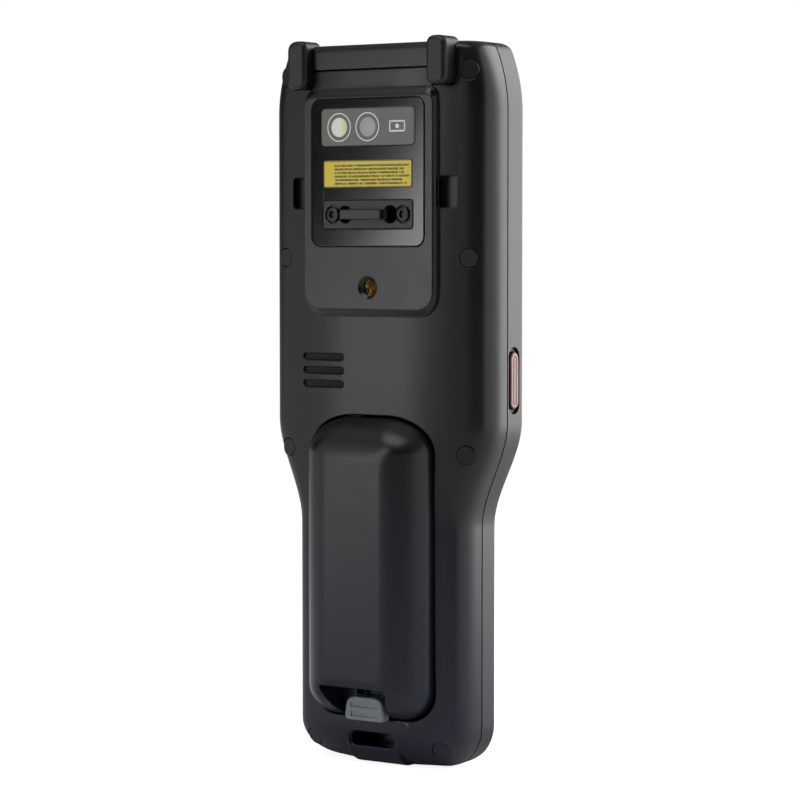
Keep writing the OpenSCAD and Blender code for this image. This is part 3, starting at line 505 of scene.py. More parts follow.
paintedBlueLight = ("Z", 125, -10)      # painted light: the colour turns bluish from this height down to the foot, a painted bluish light from below
finishes = {
    "housing": moulded("housing", {"colour": (0.0045, 0.0045, 0.0052), "rough": 0.32, "rub": ("Y", 8.6, 9.6),
                                   "foot": (*paintedBlueLight, (0.0040, 0.0085, 0.0250))}),
    "front_shell": moulded("frontShell", {"colour": (0.009, 0.0092, 0.0096), "rough": 0.40,
                                          "foot": (*paintedBlueLight, (0.0100, 0.0135, 0.0260))}),
    "rubber": moulded("rubber", {"colour": (0.006, 0.006, 0.0063), "rough": 0.44, "grain": 0.0005,
                                 "rub": ("Y", 10.6, 11.4), "foot": (*paintedBlueLight, (0.0050, 0.0090, 0.0250))}),
    "battery_shell": moulded("batteryShell", {"colour": (0.005, 0.0054, 0.0068), "rough": 0.34,
                                              "rub": ("Y", 18.0, 18.7),
                                              "foot": (*paintedBlueLight, (0.0040, 0.0085, 0.0250))}),
    "black_plastic": moulded("blackPlastic", {"colour": (0.012, 0.012, 0.013), "rough": 0.40}),
    "dark_metal": moulded("coatedMetal", {"colour": (0.007, 0.007, 0.0075), "rough": 0.38,
                                          "rub": ("Y", 13.2, 13.9)}),
    "silicone": moulded("silicone", {"colour": (0.07, 0.074, 0.08), "rough": 0.55}),
    "latch": moulded("latch", {"colour": (0.25, 0.285, 0.30), "rough": 0.42, "rub": ("Y", 11.2, 11.6)}),
    "button": moulded("sideButton", {"colour": (0.25, 0.245, 0.25), "rough": 0.42}),
    "button_red": moulded("buttonRing", {"colour": (0.62, 0.27, 0.25), "rough": 0.42, "vary": 0.1}),
    "scan_key": moulded("scanKey", {"colour": (0.50, 0.075, 0.055), "rough": 0.45, "vary": 0.08}),
    "keycap": moulded("keycap", {"colour": (0.56, 0.57, 0.58), "rough": 0.48, "vary": 0.06, "dust": 0.3}),
    "gloss_panel": glossPanel("glossPanel", {"colour": (0.003, 0.003, 0.0033), "rough": 0.10}),
    "touch_glass": glossPanel("touchGlass", {"colour": (0.008, 0.008, 0.009), "rough": 0.05}),
    "window": clearWindow("cameraWindow", {"colour": (0.150, 0.150, 0.132), "rough": 0.34, "coat": 0.08}),
    "lamp": clearWindow("lamp", {"colour": (0.95, 0.95, 0.85), "rough": 0.3, "coat": 0.15,
                                 "side": (10.6, 8.8, (0.85, 0.78, 0.35))}),
    "scan_glass": clearWindow("scanGlass", {"colour": (0.07, 0.006, 0.008), "rough": 0.06, "coat": 1.0}),
    "label": printedLabel("label", {"colour": (0.82, 0.66, 0.05), "ink": (0.05, 0.045, 0.012), "z": 191.4,
                                    "size": (34.6, 8.8), "frame": 0.4, "from": 4.4, "rows": 6,
                                    "top": 0.0012, "pitch": 0.00115}),
    "mesh": wovenMesh("speakerCloth", {"colour": (0.012, 0.012, 0.013), "scale": 700.0}),
    "board": circuitBoard("board", {"colour": (0.012, 0.10, 0.045), "track": (0.30, 0.22, 0.06),
                                    "scale": 260.0}),
    "steel": metal("steel", {"colour": (0.36, 0.37, 0.39), "dark": (0.10, 0.10, 0.11), "rough": 0.28}),
    "brass": metal("brass", {"colour": (0.93, 0.70, 0.36), "dark": (0.16, 0.09, 0.04), "rough": 0.07,
                             "stain": 0.35}),
    "gold": metal("gold", {"colour": (0.83, 0.62, 0.25), "dark": (0.35, 0.22, 0.08), "rough": 0.2,
                           "stain": 0.3}),
    "cell": moulded("cellSleeve", {"colour": (0.02, 0.10, 0.33), "rough": 0.28, "bite": 0.1}),
}
extraFinishes = {
    "cameraLens": clearWindow("cameraLens", {"colour": (0.42, 0.42, 0.39), "rough": 0.3, "coat": 0.1}),
    # black steel for the strap screws; on the latch spring it is painted shade for the gap above the latch
    "blackSteelAndShade": metal("blackSteelAndShade", {"colour": (0.045, 0.045, 0.048), "dark": (0.015, 0.015, 0.016),
                                       "rough": 0.30}),
    "whitePrint": moulded("whitePrint", {"colour": (0.96, 0.96, 0.95), "rough": 0.4, "vary": 0.03,
                                         "dust": 0.02}),
    "darkPrint": moulded("darkPrint", {"colour": (0.02, 0.02, 0.022), "rough": 0.45, "vary": 0.05,
                                       "dust": 0.1}),
}
print("finishes ready:", len(finishes) + len(extraFinishes))

# the body's form

body = {
    "gripLen": 112, "headLen": 121, "headW": 84.4, "gripW": 65.4, "rearDepth": 15.8, "frontDepth": 10.7,
    "keypadDrop": 1.3, "wall": 2.2, "neckLen": 34, "headShoulder": 9.4, "gripShoulder": 7.4,
    "cornerRoll": 13.5, "backRoll": 12, "frontRoll": 5, "topRoll": 2.5, "leastRoll": 0.4, "topTaper": 5.2,
    "taperLen": 22, "frontLean": 0.3, "frontEdge": 2.2, "sealT": 0.6, "crown": 2.1, "crownFrom": 0.28,
    "power": 3.2, "low": 0.35,
}
rows = {"foot": 14, "neck": 26, "head": 10, "top": 6}      # rows of the lofts, from the foot to the top
topZ = body["gripLen"] + body["headLen"]
neckZ = body["gripLen"] - body["neckLen"]
backDepth = body["rearDepth"]


def smooth(t):
    t = max(0.0, min(1.0, t))
    return t * t * (3 - 2 * t)


def roll(z, r):      # how far an edge of radius r draws a face in, at the distance z from the end
    return 0.0 if z >= r else r - math.sqrt(max(0.0, r * r - (r - z) ** 2))


def neck(z):      # 0 in the grip, 1 in the head
    return smooth((z - neckZ) / body["neckLen"])


def ends(z, inset, lowRoll):      # both ends' rolls
    topRoll = max(body["leastRoll"], body["topRoll"] - inset)
    return roll(z - inset, lowRoll - inset) + roll(topZ - inset - z, topRoll)


def sideX(z, inset=0.0):
    taper = max(0.0, (z - topZ + body["taperLen"]) / body["taperLen"])
    half = body["gripW"] / 2 + (body["headW"] - body["gripW"]) / 2 * neck(z)
    return half - body["topTaper"] * taper ** 2 - inset - ends(z, inset, body["cornerRoll"])


def backD(z, inset=0.0):
    return backDepth - inset - ends(z, inset, body["backRoll"])


def frontD(z, inset=0.0):
    return body["frontDepth"] - body["keypadDrop"] * (1 - neck(z)) - inset - ends(z, inset, body["frontRoll"])


def shoulder(z):      # the width of the round between the back and the side
    return body["gripShoulder"] + (body["headShoulder"] - body["gripShoulder"]) * neck(z)


def rowHeights(inset):
    low, high = body["cornerRoll"] - inset, max(body["leastRoll"], body["topRoll"] - inset)
    headZ = topZ - body["taperLen"]
    heights = [inset + low * (1 - math.cos(a)) for a in quarterTurn(rows["foot"])]
    heights += [neckZ + body["neckLen"] * i / rows["neck"] for i in range(rows["neck"] + 1)]
    heights += [headZ + (body["taperLen"] - inset - high) * i / rows["head"] for i in range(rows["head"] + 1)]
    return heights + [topZ - inset - high * (1 - math.sin(a)) for a in quarterTurn(rows["top"])[1:]]


def crownDrop(x, start, width, crown):      # the back curves gently down before its shoulder starts
    begin = body["crownFrom"] * start
    slope = 2 * crown / (start - begin)
    if x <= start:
        return crown * (max(0.0, x - begin) / (start - begin)) ** 2
    past = min(x - start, width)
    return crown + slope * past * (1 - past / (2 * width))


def shoulderFall(u, start, width, tall, crown):      # how far the back lies below its middle
    power = body["power"]
    lowered = crownDrop(start + width, start, width, crown)
    t = max(0.0, min(1.0, (u - start) / width))
    return crownDrop(u, start, width, crown) + (tall - lowered) * (1 - (1 - t ** power) ** (1 / power))


def backRow(x, depth, width, seam, z, steps=22, middle=12):      # a row of the rear form, side to side
    crown, width = body["crown"], min(width, 0.85 * x)
    start = x - width
    tall = depth - min(body["low"], 0.1 * depth)
    half = [(x, seam)]
    for a in quarterTurn(steps):
        u = start + width * math.cos(a) ** 0.8
        half.append((u, depth - shoulderFall(u, start, width, tall, crown)))
    for k in range(1, middle):
        u = start * (1 - k / middle)
        half.append((u, depth - crownDrop(u, start, width, crown)))
    return [(u, d, z) for u, d in half + [(-u, d) for u, d in reversed(half)]]


def frontRow(x, depth, edge, lean, seam, z, steps=8):      # a row of the front form
    w, h = min(edge, 0.85 * x), min(edge, 0.85 * depth)
    half = [(x, seam)]
    for a in quarterTurn(steps):
        half.append((x - lean - w * (1 - math.cos(a)), depth - h * (1 - math.sin(a))))
    return [(u, -d, z) for u, d in half + [(-u, d) for u, d in reversed(half)]]


def rearForm(name, inset, seam):
    return loft(name, [backRow(sideX(z, inset), backD(z, inset), shoulder(z) - inset, seam, z)
                       for z in rowHeights(inset)])


def frontForm(name, inset, seam):
    edge = max(body["leastRoll"], body["frontEdge"] - inset)
    return loft(name, [frontRow(sideX(z, inset), frontD(z, inset), edge, body["frontLean"], seam, z)
                       for z in rowHeights(inset)])


def surfaceDrop(x, z):      # how far the back's surface lies below backD
    half, wide = sideX(z), shoulder(z)
    return shoulderFall(min(abs(x), half - 0.3), half - wide, wide, backD(z) - body["low"], body["crown"])


def surfaceSeat(x, z):      # on the slanting surface of the back, looking straight out of it
    tilt = math.atan((surfaceDrop(x + 0.05, z) - surfaceDrop(x - 0.05, z)) / 0.1)      # from two near places
    foot = math.asin(max(0.0, (body["backRoll"] - z) / body["backRoll"]))
    turned = Matrix.Rotation(-tilt, 4, "Z") @ Matrix.Rotation(-foot, 4, "X")
    return Matrix.Translation((x, backD(z) - surfaceDrop(x, z), z)) @ turned @ backSeat()


# raised pad on the back

pad = {"w": 49.6, "low": topZ - 87.5, "crest": topZ - 17.2, "rise": 1.6, "edge": 1.4, "side": 0.6,
       "slope": 3.3, "lowR": 5.5, "topR": 2.4, "steps": 10, "under": 3}
padD = backDepth + pad["rise"]


def makePad():      # steep at its sides, softer below and above
    rings = []
    for i in range(-pad["under"], pad["steps"] + 1):      # the first rows lie under the back
        t = i / pad["steps"]
        out = 1 - max(0.0, t)
        side = pad["side"] * (out ** 1.6 if out < 1 else 1 - 1.2 * t)
        low = pad["low"] + 2 * pad["edge"] * (1 - out)
        high = pad["crest"] + pad["slope"] * out
        level = backDepth + pad["rise"] * (smooth(t) if t > 0 else 1.6 * t)
        shape = card(pad["w"] + 2 * side, high - low, pad["lowR"] + 1.5 * out, pad["topR"] + 1.2 * out, low)
        rings.append([(u, level, v) for u, v in shape(0)])
    return loft("pad", rings)


# rear housing

well = {"w": 47.6, "len": 97.6, "z": 16.1, "low": 9.3, "top": 11, "spread": 1.55, "floor": 2.6, "wall": 1.6,
        "rim": 0.7}
tab = {"x": 12, "w": 9, "len": 6, "z": 108.6, "low": backDepth - 8, "high": backDepth - 6.2, "gap": 0.4,
       "holeZ": 110, "holeLen": 5.1, "holeHigh": backDepth - 5.8}
hook = {"x": 25.6, "w": 6.5, "z": topZ - 52.7, "h": 10.2, "depth": 3.3, "lip": 1.2, "under": 2.2, "wall": 1.4,
        "follow": 0.55, "r": 1.2, "rim": 0.2, "inner": 0.8}
screw = {"sites": [(35.9, topZ - 9.4), (35.9, topZ - 68.5), (34.85, 102.2), (25.1, 6.8)],
         "plug": 3.0, "plugT": 1.4, "boss": 2.7, "bossTop": (5.2, 3.6, 1.0), "d": 2.5, "headD": 4.4,
         "headT": 1.6, "headSeat": 4.6, "socket": 0.95}
strap = {"half": 10.2, "w": 17.2, "h": 4.5, "z": 6.4, "roll": 9, "in": 4.2, "r": 2.2, "edge": 1.2,
         "sunk": 0.32}
panel = {"w": 43.8, "len": 47.2, "z": topZ - 17.6 - 47.2, "t": 1.8, "r": 3.3, "seat": 2.2, "gap": 0.13,
         "windowV": 38.2, "labelV": 23.2, "barV": 10.2}
window = {"w": 36.6, "h": 12.2, "t": 1, "r": 1.6, "lens": 11.1, "ring": (4.45, 0.16), "disc": 3.1,
          "hole": (33.6, 9.2, 1)}
bar = {"w": 35.2, "h": 9.2, "r": 0.9, "screwX": 13.7, "headR": 2.35, "pocketX": 8.8, "pocketR": 2.8,
       "half": 8, "rise": 4.4, "t": 3.1, "step": 2, "web": 5.4}
insert = {"z": topZ - 78, "d": 7, "bore": 4.2, "len": 8, "sink": 1.6, "lip": 2.5, "short": 1.2}
speaker = {"x": 19.1, "z": 128, "len": 17, "h": 2, "pitch": 4.4}
horn = {"in": 23.3, "w": 7.6, "low": topZ - 14, "top": topZ + 1.54, "out": backDepth + 3.5, "r": 2.3,
        "seat": backDepth - 3.6, "topSeat": backDepth - 5.2, "face": 1.7, "gap": 0.14}
hood = {"z": topZ - 8, "back": 15.2, "front": -4, "r": 2, "gap": 0.3}
brow = {"x": horn["in"] - 0.15, "z": hood["z"] - hood["gap"], "r": 2.0, "half": 23.4}
dock = {"w": 19.2, "h": 4.6, "d": -5.2, "r": 1.2, "deep": 5}
contact = {"z": 101.2, "pitch": 3.6, "size": 2.5}


def sitePairs():      # the places of the case screws, on both sides
    return [(side * x, z) for x, z in screw["sites"] for side in (-1, 1)]


def strapBlock():
    r, end, top = strap["roll"], well["z"] + 1.5, backDepth - strap["sunk"]
    arc = [(top - r + r * math.sin(a), r - r * math.cos(a)) for a in quarterTurn(14)]
    points = [(2.0, 0.0)] + arc + [(top, end), (2.0, end)]
    at = seat((-strap["half"], 0, 0), (0, 1, 0), (0, 0, 1), (1, 0, 0))
    edge = strap["edge"]
    return stack("strapBlock", at, traced(points), blockProfile(0, 2 * strap["half"], edge, edge, 5))


def strapHoles():
    shape = card(strap["w"], strap["h"], strap["r"])
    profile = holeProfile(strap["in"], backDepth - 1.1, 0.5, over=4)
    back = stack("slot", backSeat(0, strap["z"]), shape, profile)
    depth = seat((0, strap["in"], 0), (1, 0, 0), (0, 1, 0), (0, 0, -1))
    foot = stack("slotFoot", depth, shape, holeProfile(-strap["z"] - strap["h"] / 2, 0, 0.5))
    return [back, foot]


def hookHoles(side):      # a pocket with an undercut towards the pad
    x, floor = side * (hook["x"] + hook["w"] / 2), backDepth - hook["depth"]
    profile = holeProfile(floor, backDepth, hook["rim"], over=3, floorEdge=0.15)
    pocket = onBack("hook", card(hook["w"], hook["h"], hook["r"]), profile, x, hook["z"], hook["follow"])
    at = backSeat(side * (hook["x"] - hook["under"] / 2 + 0.6), hook["z"] + hook["inner"])
    shape = card(hook["under"] + 1.2, hook["h"] - 2 * hook["inner"], 0.4)
    return [pocket, stack("hookUnder", at, shape, blockProfile(floor + 0.02, backDepth - hook["lip"]))]


def hookBlock(side):
    wall = hook["wall"]
    x = side * (hook["x"] - hook["under"] + (hook["w"] + hook["under"]) / 2)
    shape = card(hook["w"] + hook["under"] + 2 * wall, hook["h"] + 2 * wall, 1)
    profile = [(0, backDepth - hook["depth"] - wall), (0, backDepth - 2), (0, backDepth - 1)]
    return onBack("hookBlock", shape, profile, x, hook["z"] - wall, 1.0)


def screwBoss(x, z):
    at = surfaceSeat(x, z)
    low, turned, high = screw["bossTop"]      # levels under the surface
    shape = disc(screw["boss"], 32)
    return [stack("boss", backSeat(x, z), shape, blockProfile(body["sealT"] / 2, at.translation[1] - turned)),
            stack("bossTop", at, shape, blockProfile(-low, -high))]


def screwHole(x, z):
    at = surfaceSeat(x, z)
    surface, level = at.translation[1], at.translation[1] - screw["headSeat"]
    headShape, plugShape = disc(screw["headD"] / 2 + 0.2, 24), disc(screw["plug"] + 0.16, 48)
    return [stack("shaft", backSeat(x, z), disc(screw["d"] / 2 + 0.15, 24), blockProfile(-0.5, level + 1)),
            stack("head", backSeat(x, z), headShape, blockProfile(level, surface - screw["plugT"])),
            stack("plugSeat", at, plugShape, holeProfile(-screw["plugT"] - 0.2, 0, 0.22, over=4))]


def hornHole(side):      # the seat leans forward towards its upper end
    gap = horn["gap"]
    low, top, far = horn["low"] - gap, horn["top"] + 1, 30
    seatD, topSeat = horn["seat"] - gap, horn["topSeat"] - gap
    points = [(seatD, low), (far, low), (far, top), (topSeat, top), (topSeat, horn["top"] - horn["r"]),
              (seatD, horn["low"] + horn["r"])]
    start = horn["in"] - gap if side > 0 else -horn["in"] - horn["w"] - gap
    at = seat((start, 0, 0), (0, 1, 0), (0, 0, 1), (1, 0, 0))
    return stack("hornSeat", at, traced(points), blockProfile(0, horn["w"] + 2 * gap))


def hoodHole():
    gap = hood["gap"]
    shape = card(2 * (horn["in"] + gap), 12, 1.3, 0.2, hood["z"] - gap)
    return stack("hoodSeat", backSeat(), shape, blockProfile(hood["front"] - 0.1, 30))


def dockHole():
    shape = card(dock["w"], dock["h"], dock["r"])
    return stack("dockHole", topSeat(0, dock["d"], -1), shape, blockProfile(0, dock["deep"]))


def browCorner(side):      # rounds the upper corners of the housing beside the horns
    x, z, r = brow["x"], brow["z"], brow["r"]
    arc = [(x - r + r * math.sin(a), z - r + r * math.cos(a)) for a in quarterTurn(8)]
    points = [(u * side, v) for u, v in [(x - r, z + 0.8)] + arc + [(x + 0.6, z - r), (x + 0.6, z + 0.8)]]
    shape = traced(points if side < 0 else points[::-1])
    return stack("browCorner", backSeat(), shape, blockProfile(backDepth - 3, 30))


def browEdge():      # a small round along the upper edge of the brow
    z, rings = brow["z"], []
    section = [(-0.6, 0.02), (-0.22, -0.10), (-0.05, -0.3), (0.04, -0.62), (0.6, -0.64), (0.6, 0.6),
               (-0.6, 0.6)]
    for i in range(25):
        x = brow["half"] * (i / 12 - 1)
        d = backD(z - 1) - surfaceDrop(x, z - 1)
        rings.append([(x, d + out, z + up) for out, up in section])
    return loft("browEdge", rings)


def insertHole():      # the pad's skin flares out round the insert
    top = padD - insert["sink"]
    wide = insert["lip"] - insert["d"] / 2 - 0.03
    flare = [(wide, top - insert["len"]), (wide, top + 0.02), (0, top + 0.04), (-0.15, top + 0.6),
             (-0.9, padD - 0.35), (-1.15, padD - 0.1), (-1.35, padD + 0.02), (-1.35, padD + 2)]
    return stack("insertHole", backSeat(0, insert["z"]), disc(insert["lip"]), flare)


def rearBlocks():      # what stands on the inside of the shell
    wall, low = well["wall"], padD - panel["t"] - panel["seat"]
    shape = card(well["w"] + 2 * wall, well["len"] + 2 * wall, well["low"] + wall, well["top"] + wall,
                 well["z"] - wall, spread=well["spread"])
    levels = [(0, well["floor"] - wall), (0, backDepth - 2), (0, backDepth - 0.9)]
    blocks = [onBack("wellBlock", shape, levels),
              strapBlock(), hookBlock(-1), hookBlock(1)]
    shape = card(panel["w"] + 3, panel["len"] + 3, panel["r"], lift=panel["z"] - 1.5)
    blocks.append(stack("panelSeat", backSeat(), shape, blockProfile(low, backDepth - 0.3)))
    at = backSeat(0, panel["z"] + panel["barV"])
    profile = blockProfile(low - panel["seat"], backDepth - 1.4)
    blocks.append(stack("barSeat", at, midCard(panel["w"] + 3, 12, 1), profile))
    profile = blockProfile(padD - insert["sink"] - insert["len"] - 1, backDepth - 1)
    blocks.append(stack("insertBoss", backSeat(0, insert["z"]), disc(insert["d"] / 2 + 1.6), profile))
    for x, z in sitePairs():
        blocks += screwBoss(x, z)
    return blocks + [makePad()]


def panelHoles():      # the panel's recess, and what goes through its floor
    gap, low = panel["gap"], padD - panel["t"]
    shape = card(panel["w"] + 2 * gap, panel["len"] + 2 * gap, panel["r"], lift=panel["z"] - gap)
    holes = [stack("panelHole", backSeat(), shape, holeProfile(low, padD, 0.3, over=6)),
             stack("windowHole", backSeat(0, panel["z"] + panel["windowV"]), midCard(*window["hole"]),
                   blockProfile(padD - 9, padD))]
    for side in (-1, 1):
        at = backSeat(side * bar["pocketX"], panel["z"] + panel["barV"])
        holes.append(stack("pocket", at, disc(bar["pocketR"]), blockProfile(low - panel["seat"], padD)))
    return holes


def rearHoles():
    shape = card(well["w"], well["len"], well["low"], well["top"], well["z"], 12, well["spread"])
    holes = [onBack("well", shape, holeProfile(well["floor"], backDepth, well["rim"], over=8, floorEdge=0.6))]
    for side in (-1, 1):
        profile = blockProfile(tab["low"] - tab["gap"], tab["holeHigh"])
        shape = card(tab["w"] + 2 * tab["gap"], tab["holeLen"], 0.3)
        holes.append(stack("tab", backSeat(side * tab["x"], tab["holeZ"]), shape, profile))
        holes += hookHoles(side) + [hornHole(side), browCorner(side)]
        for x, z in screw["sites"]:
            holes += screwHole(side * x, z)
    holes += strapHoles() + [hoodHole(), browEdge()] + panelHoles() + [insertHole()]
    for k in (-1, 0, 1):
        holes.append(onBack("speakerSlot", pill(speaker["len"], speaker["h"]),
                            holeProfile(backDepth - 5, backDepth, 0.5),
                            speaker["x"], speaker["z"] + k * speaker["pitch"]))
    for k in (-2, -1, 0, 1, 2):
        at = backSeat(k * contact["pitch"], contact["z"])
        profile = blockProfile(well["floor"] - 2.6, well["floor"] + 0.1)
        holes.append(stack("contactHole", at, midCard(contact["size"], contact["size"], 0.2), profile))
    return holes + [dockHole()]


def makeRearHousing():
    rear = rearForm("rearHousing", 0, body["sealT"] / 2)
    combine(rear, [rearForm("cavity", body["wall"], -1)])
    combine(rear, rearBlocks(), "UNION")
    combine(rear, rearHoles())
    return finishPiece(rear, "housing", ["rear_housing"], "housing")


makeRearHousing()
print("rear housing built")

# front housing

front = {"glassW": 63, "glassLen": 103, "glassT": 1.2, "glassR": 3.5, "glassZ": 118.5, "inset": 3.2,
         "gap": 0.15, "sunk": 0.2}
keys = {"rowZ": 65.5, "pitchX": 12.6, "pitchZ": 12.4, "size": (10.6, 8.6, 2), "gap": 0.3, "face": -10.5,
        "flange": 0.6, "names": ["1", "2", "3", "back", "4", "5", "6", "shift", "7", "8", "9", "power",
                                 "star", "0", "hash", "enter"],
        "upper": [("scan", 0, 83, 15, 13, 5), ("soft_left", -17, 88, 11, 6, 2.4),
                  ("soft_right", 17, 88, 11, 6, 2.4), ("navigation", 0, 97, 26, 8.4, 4)]}
button = {"d": -4.2, "z": 125.4, "len": 18.4, "w": 5, "proud": 0.2, "recess": 1.1, "gap": 0.25, "rim": 0.8}
keypadD = -(body["frontDepth"] - body["keypadDrop"])


def keySites():      # name, across, height, width, height of the cap, corner radius
    sites = list(keys["upper"])
    for i, name in enumerate(keys["names"]):
        x, z = (i % 4 - 1.5) * keys["pitchX"], keys["rowZ"] - i // 4 * keys["pitchZ"]
        sites.append((name, x, z, *keys["size"]))
    return sites


def buttonSeat(side):
    return sideSeat(side, button["d"], button["z"])


def frontHoles():
    deep, halfW = body["frontDepth"], body["headW"] / 2
    holes = []
    for x, z in sitePairs():
        shape = disc(screw["d"] / 2 + 0.02, 24)
        holes.append(stack("postHole", frontSeat(x, z), shape, blockProfile(-0.5, 5.3)))
    gap, inset = front["gap"], front["inset"] - 2 * front["gap"]
    wide, tall = front["glassW"] + 2 * gap, front["glassLen"] + 2 * gap
    shape = card(wide, tall, front["glassR"], lift=front["glassZ"] - gap)
    profile = holeProfile(deep - front["sunk"] - front["glassT"], deep, 0.3)
    holes.append(stack("glassHole", frontSeat(), shape, profile))
    shape = card(front["glassW"] - 2 * inset, front["glassLen"] - 2 * inset, 1, lift=front["glassZ"] + inset)
    holes.append(stack("displayHole", frontSeat(), shape, blockProfile(deep - body["wall"] - 1, deep)))
    profile = holeProfile(-keypadD - body["wall"] - 1, -keypadD, 0.35, over=2)
    for _, x, z, wide, high, r in keySites():
        shape = midCard(wide + 2 * keys["gap"], high + 2 * keys["gap"], r + keys["gap"])
        holes.append(stack("keyHole", frontSeat(x, z), shape, profile))
    recess = pill(button["w"] + 2 * button["rim"], button["len"] + 3)
    through = pill(button["w"] + 2 * button["gap"], button["len"] + 2 * button["gap"])
    for side in (-1, 1):
        at = buttonSeat(side)
        holes.append(stack("recess", at, recess, holeProfile(halfW - button["recess"], halfW, 0.35, over=2)))
        holes.append(stack("buttonHole", at, through, blockProfile(halfW - body["wall"] - 3, halfW)))
    return holes + [hoodHole(), dockHole()]


def makeFrontHousing():
    level = body["sealT"] / 2
    shell = frontForm("frontHousing", 0, level)
    combine(shell, [frontForm("frontCavity", body["wall"], -1)])
    posts = [stack("post", frontSeat(x, z), disc(screw["boss"], 32), blockProfile(level, frontD(z) - 1))
             for x, z in sitePairs()]
    combine(shell, posts, "UNION")
    combine(shell, frontHoles())
    return finishPiece(shell, "housing", ["front_housing"], "front_shell")


makeFrontHousing()
print("front housing built")

# scan hood, window and bumpers

scan = {"d": 5, "w": 34.2, "h": 13.2, "r": 1.6, "t": 2.2, "sunk": 1, "through": (31, 10, 1)}


def makeHood():
    height, wide = topZ - hood["z"], horn["in"] - 0.1
    points = [(hood["front"], 0), (hood["back"], 0), (hood["back"], height), (hood["front"], height)]
    at = seat((-wide, 0, hood["z"]), (0, 1, 0), (0, 0, 1), (1, 0, 0))
    shape = softened(points, [0.05, 0.45, hood["r"] * 1.3, 0.3], 7)
    piece = stack("scanHood", at, traced(shape), blockProfile(0, 2 * wide, 0.3, 0.3, 3))
    at, shape = topSeat(0, scan["d"]), midCard(scan["w"], scan["h"], scan["r"])
    hole = stack("hoodWindow", at, shape, holeProfile(topZ - scan["t"], topZ, 0.6))
    through = stack("hoodThrough", at, midCard(*scan["through"]), blockProfile(hood["z"] - 1, topZ - 1))
    combine(piece, [hole, through])
    return finishPiece(piece, "housing", ["scan_hood"], "housing")


def makeScanWindow():
    gap = 0.1
    shape = midCard(scan["w"] - 2 * gap, scan["h"] - 2 * gap, scan["r"] - gap)
    profile = blockProfile(topZ - scan["t"], topZ - scan["sunk"], 0, 0.2, 3)
    return finishPiece(stack("scanWindow", topSeat(0, scan["d"]), shape, profile), "housing", ["scan_window"],
                       "scan_glass")


def makeBumper(side, name, node):      # a rubber horn whose seat leans forward towards its upper end
    r, wide, tall = horn["r"], horn["w"], horn["top"] - horn["low"]
    inner, outer = r * 1.3, r * 1.9
    radii = [r * 1.35, r * 1.35, outer, inner] if side > 0 else [r * 1.35, r * 1.35, inner, outer]
    shape = traced(softened([(0, 0), (wide, 0), (wide, tall), (0, tall)], radii, 10))
    low = horn["in"] if side > 0 else -horn["in"] - wide
    rings = []
    for inset, level in [(0, None)] + blockProfile(horn["seat"] + 1.5, horn["out"], 0, horn["face"], 9):
        ring = []
        for u, v in shape(inset):
            t = min(1.0, max(0.0, (v - r) / (tall - 2 * r)))
            seatLevel = horn["seat"] + (horn["topSeat"] - horn["seat"]) * t
            ring.append((low + u, seatLevel if level is None else level, horn["low"] + v))
        rings.append(ring)
    return finishPiece(loft(name, rings), "housing", [node], "rubber", 60)


makeHood()
makeScanWindow()
makeBumper(-1, "bumperLeft", "bumper_left")
makeBumper(1, "bumperRight", "bumper_right")
print("scan end built")

# camera panel with its window, label and strap bar

label = {"w": 34.6, "h": 8.8, "t": 0.4, "r": 0.95}
sign = {"x": -11.6, "w": 6.2, "h": 3.6, "line": 0.5, "side": 3.4, "dot": 0.75, "r": 0.15}
fit = 0.12      # the gap round the window
inkLow, inkTop = -0.05, 0.02      # the levels of a printed mark
printProfile = blockProfile(inkLow, inkTop)


def onPanel(v, x=0.0):
    return backSeat(x, panel["z"] + v, padD)


def makePanel():
    shape = card(panel["w"], panel["len"], panel["r"], steps=10)
    piece = stack("cameraPanel", onPanel(0), shape, blockProfile(-panel["t"], 0, 0, 0.35))
    windowShape = midCard(window["w"] + 2 * fit, window["h"] + 2 * fit, window["r"] + 0.1)
    barShape = midCard(bar["w"] + 0.3, bar["h"] + 0.3, bar["r"] + 0.15)
    labelShape = midCard(label["w"] + 0.3, label["h"] + 0.3, 0.9)
    combine(piece, [
        stack("windowSeat", onPanel(panel["windowV"]), windowShape, holeProfile(-window["t"], 0, 0.2)),
        stack("windowHole", onPanel(panel["windowV"]), midCard(*window["hole"]), blockProfile(-3, -0.5)),
        stack("labelSeat", onPanel(panel["labelV"]), labelShape, holeProfile(-label["t"], 0, 0.12)),
        stack("barSeat", onPanel(panel["barV"]), barShape, holeProfile(-panel["t"] - 1, 0, 0.2))])
    return finishPiece(piece, "housing", ["camera_panel"], "gloss_panel")


def ringPiece(name, at, radius, half):      # a thin printed ring
    inner, outer = radius - half, radius + half
    steps, rings = 64, []
    for i in range(steps):
        a = 2 * math.pi * i / steps
        rings.append([at @ Vector((r * math.cos(a), r * math.sin(a), n))
                      for r, n in ((inner, inkLow), (outer, inkLow), (outer, inkTop), (inner, inkTop))])
    return loft(name, rings, closed=True)


def pictogram(v):      # a plain frame with a dot in it
    wide, line, side = sign["w"], sign["line"], sign["side"]
    across, up = (wide - line) / 2, (sign["h"] - line) / 2
    bars = [(0, up, wide, line), (0, -up, wide, line), (-across, 0, line, side), (across, 0, line, side)]
    marks = [stack("dot", onPanel(v, sign["x"]), disc(sign["dot"]), printProfile)]
    for u, n, w, h in bars:
        marks.append(stack("frameBar", onPanel(v + n, sign["x"] + u), midCard(w, h, sign["r"]), printProfile))
    return marks


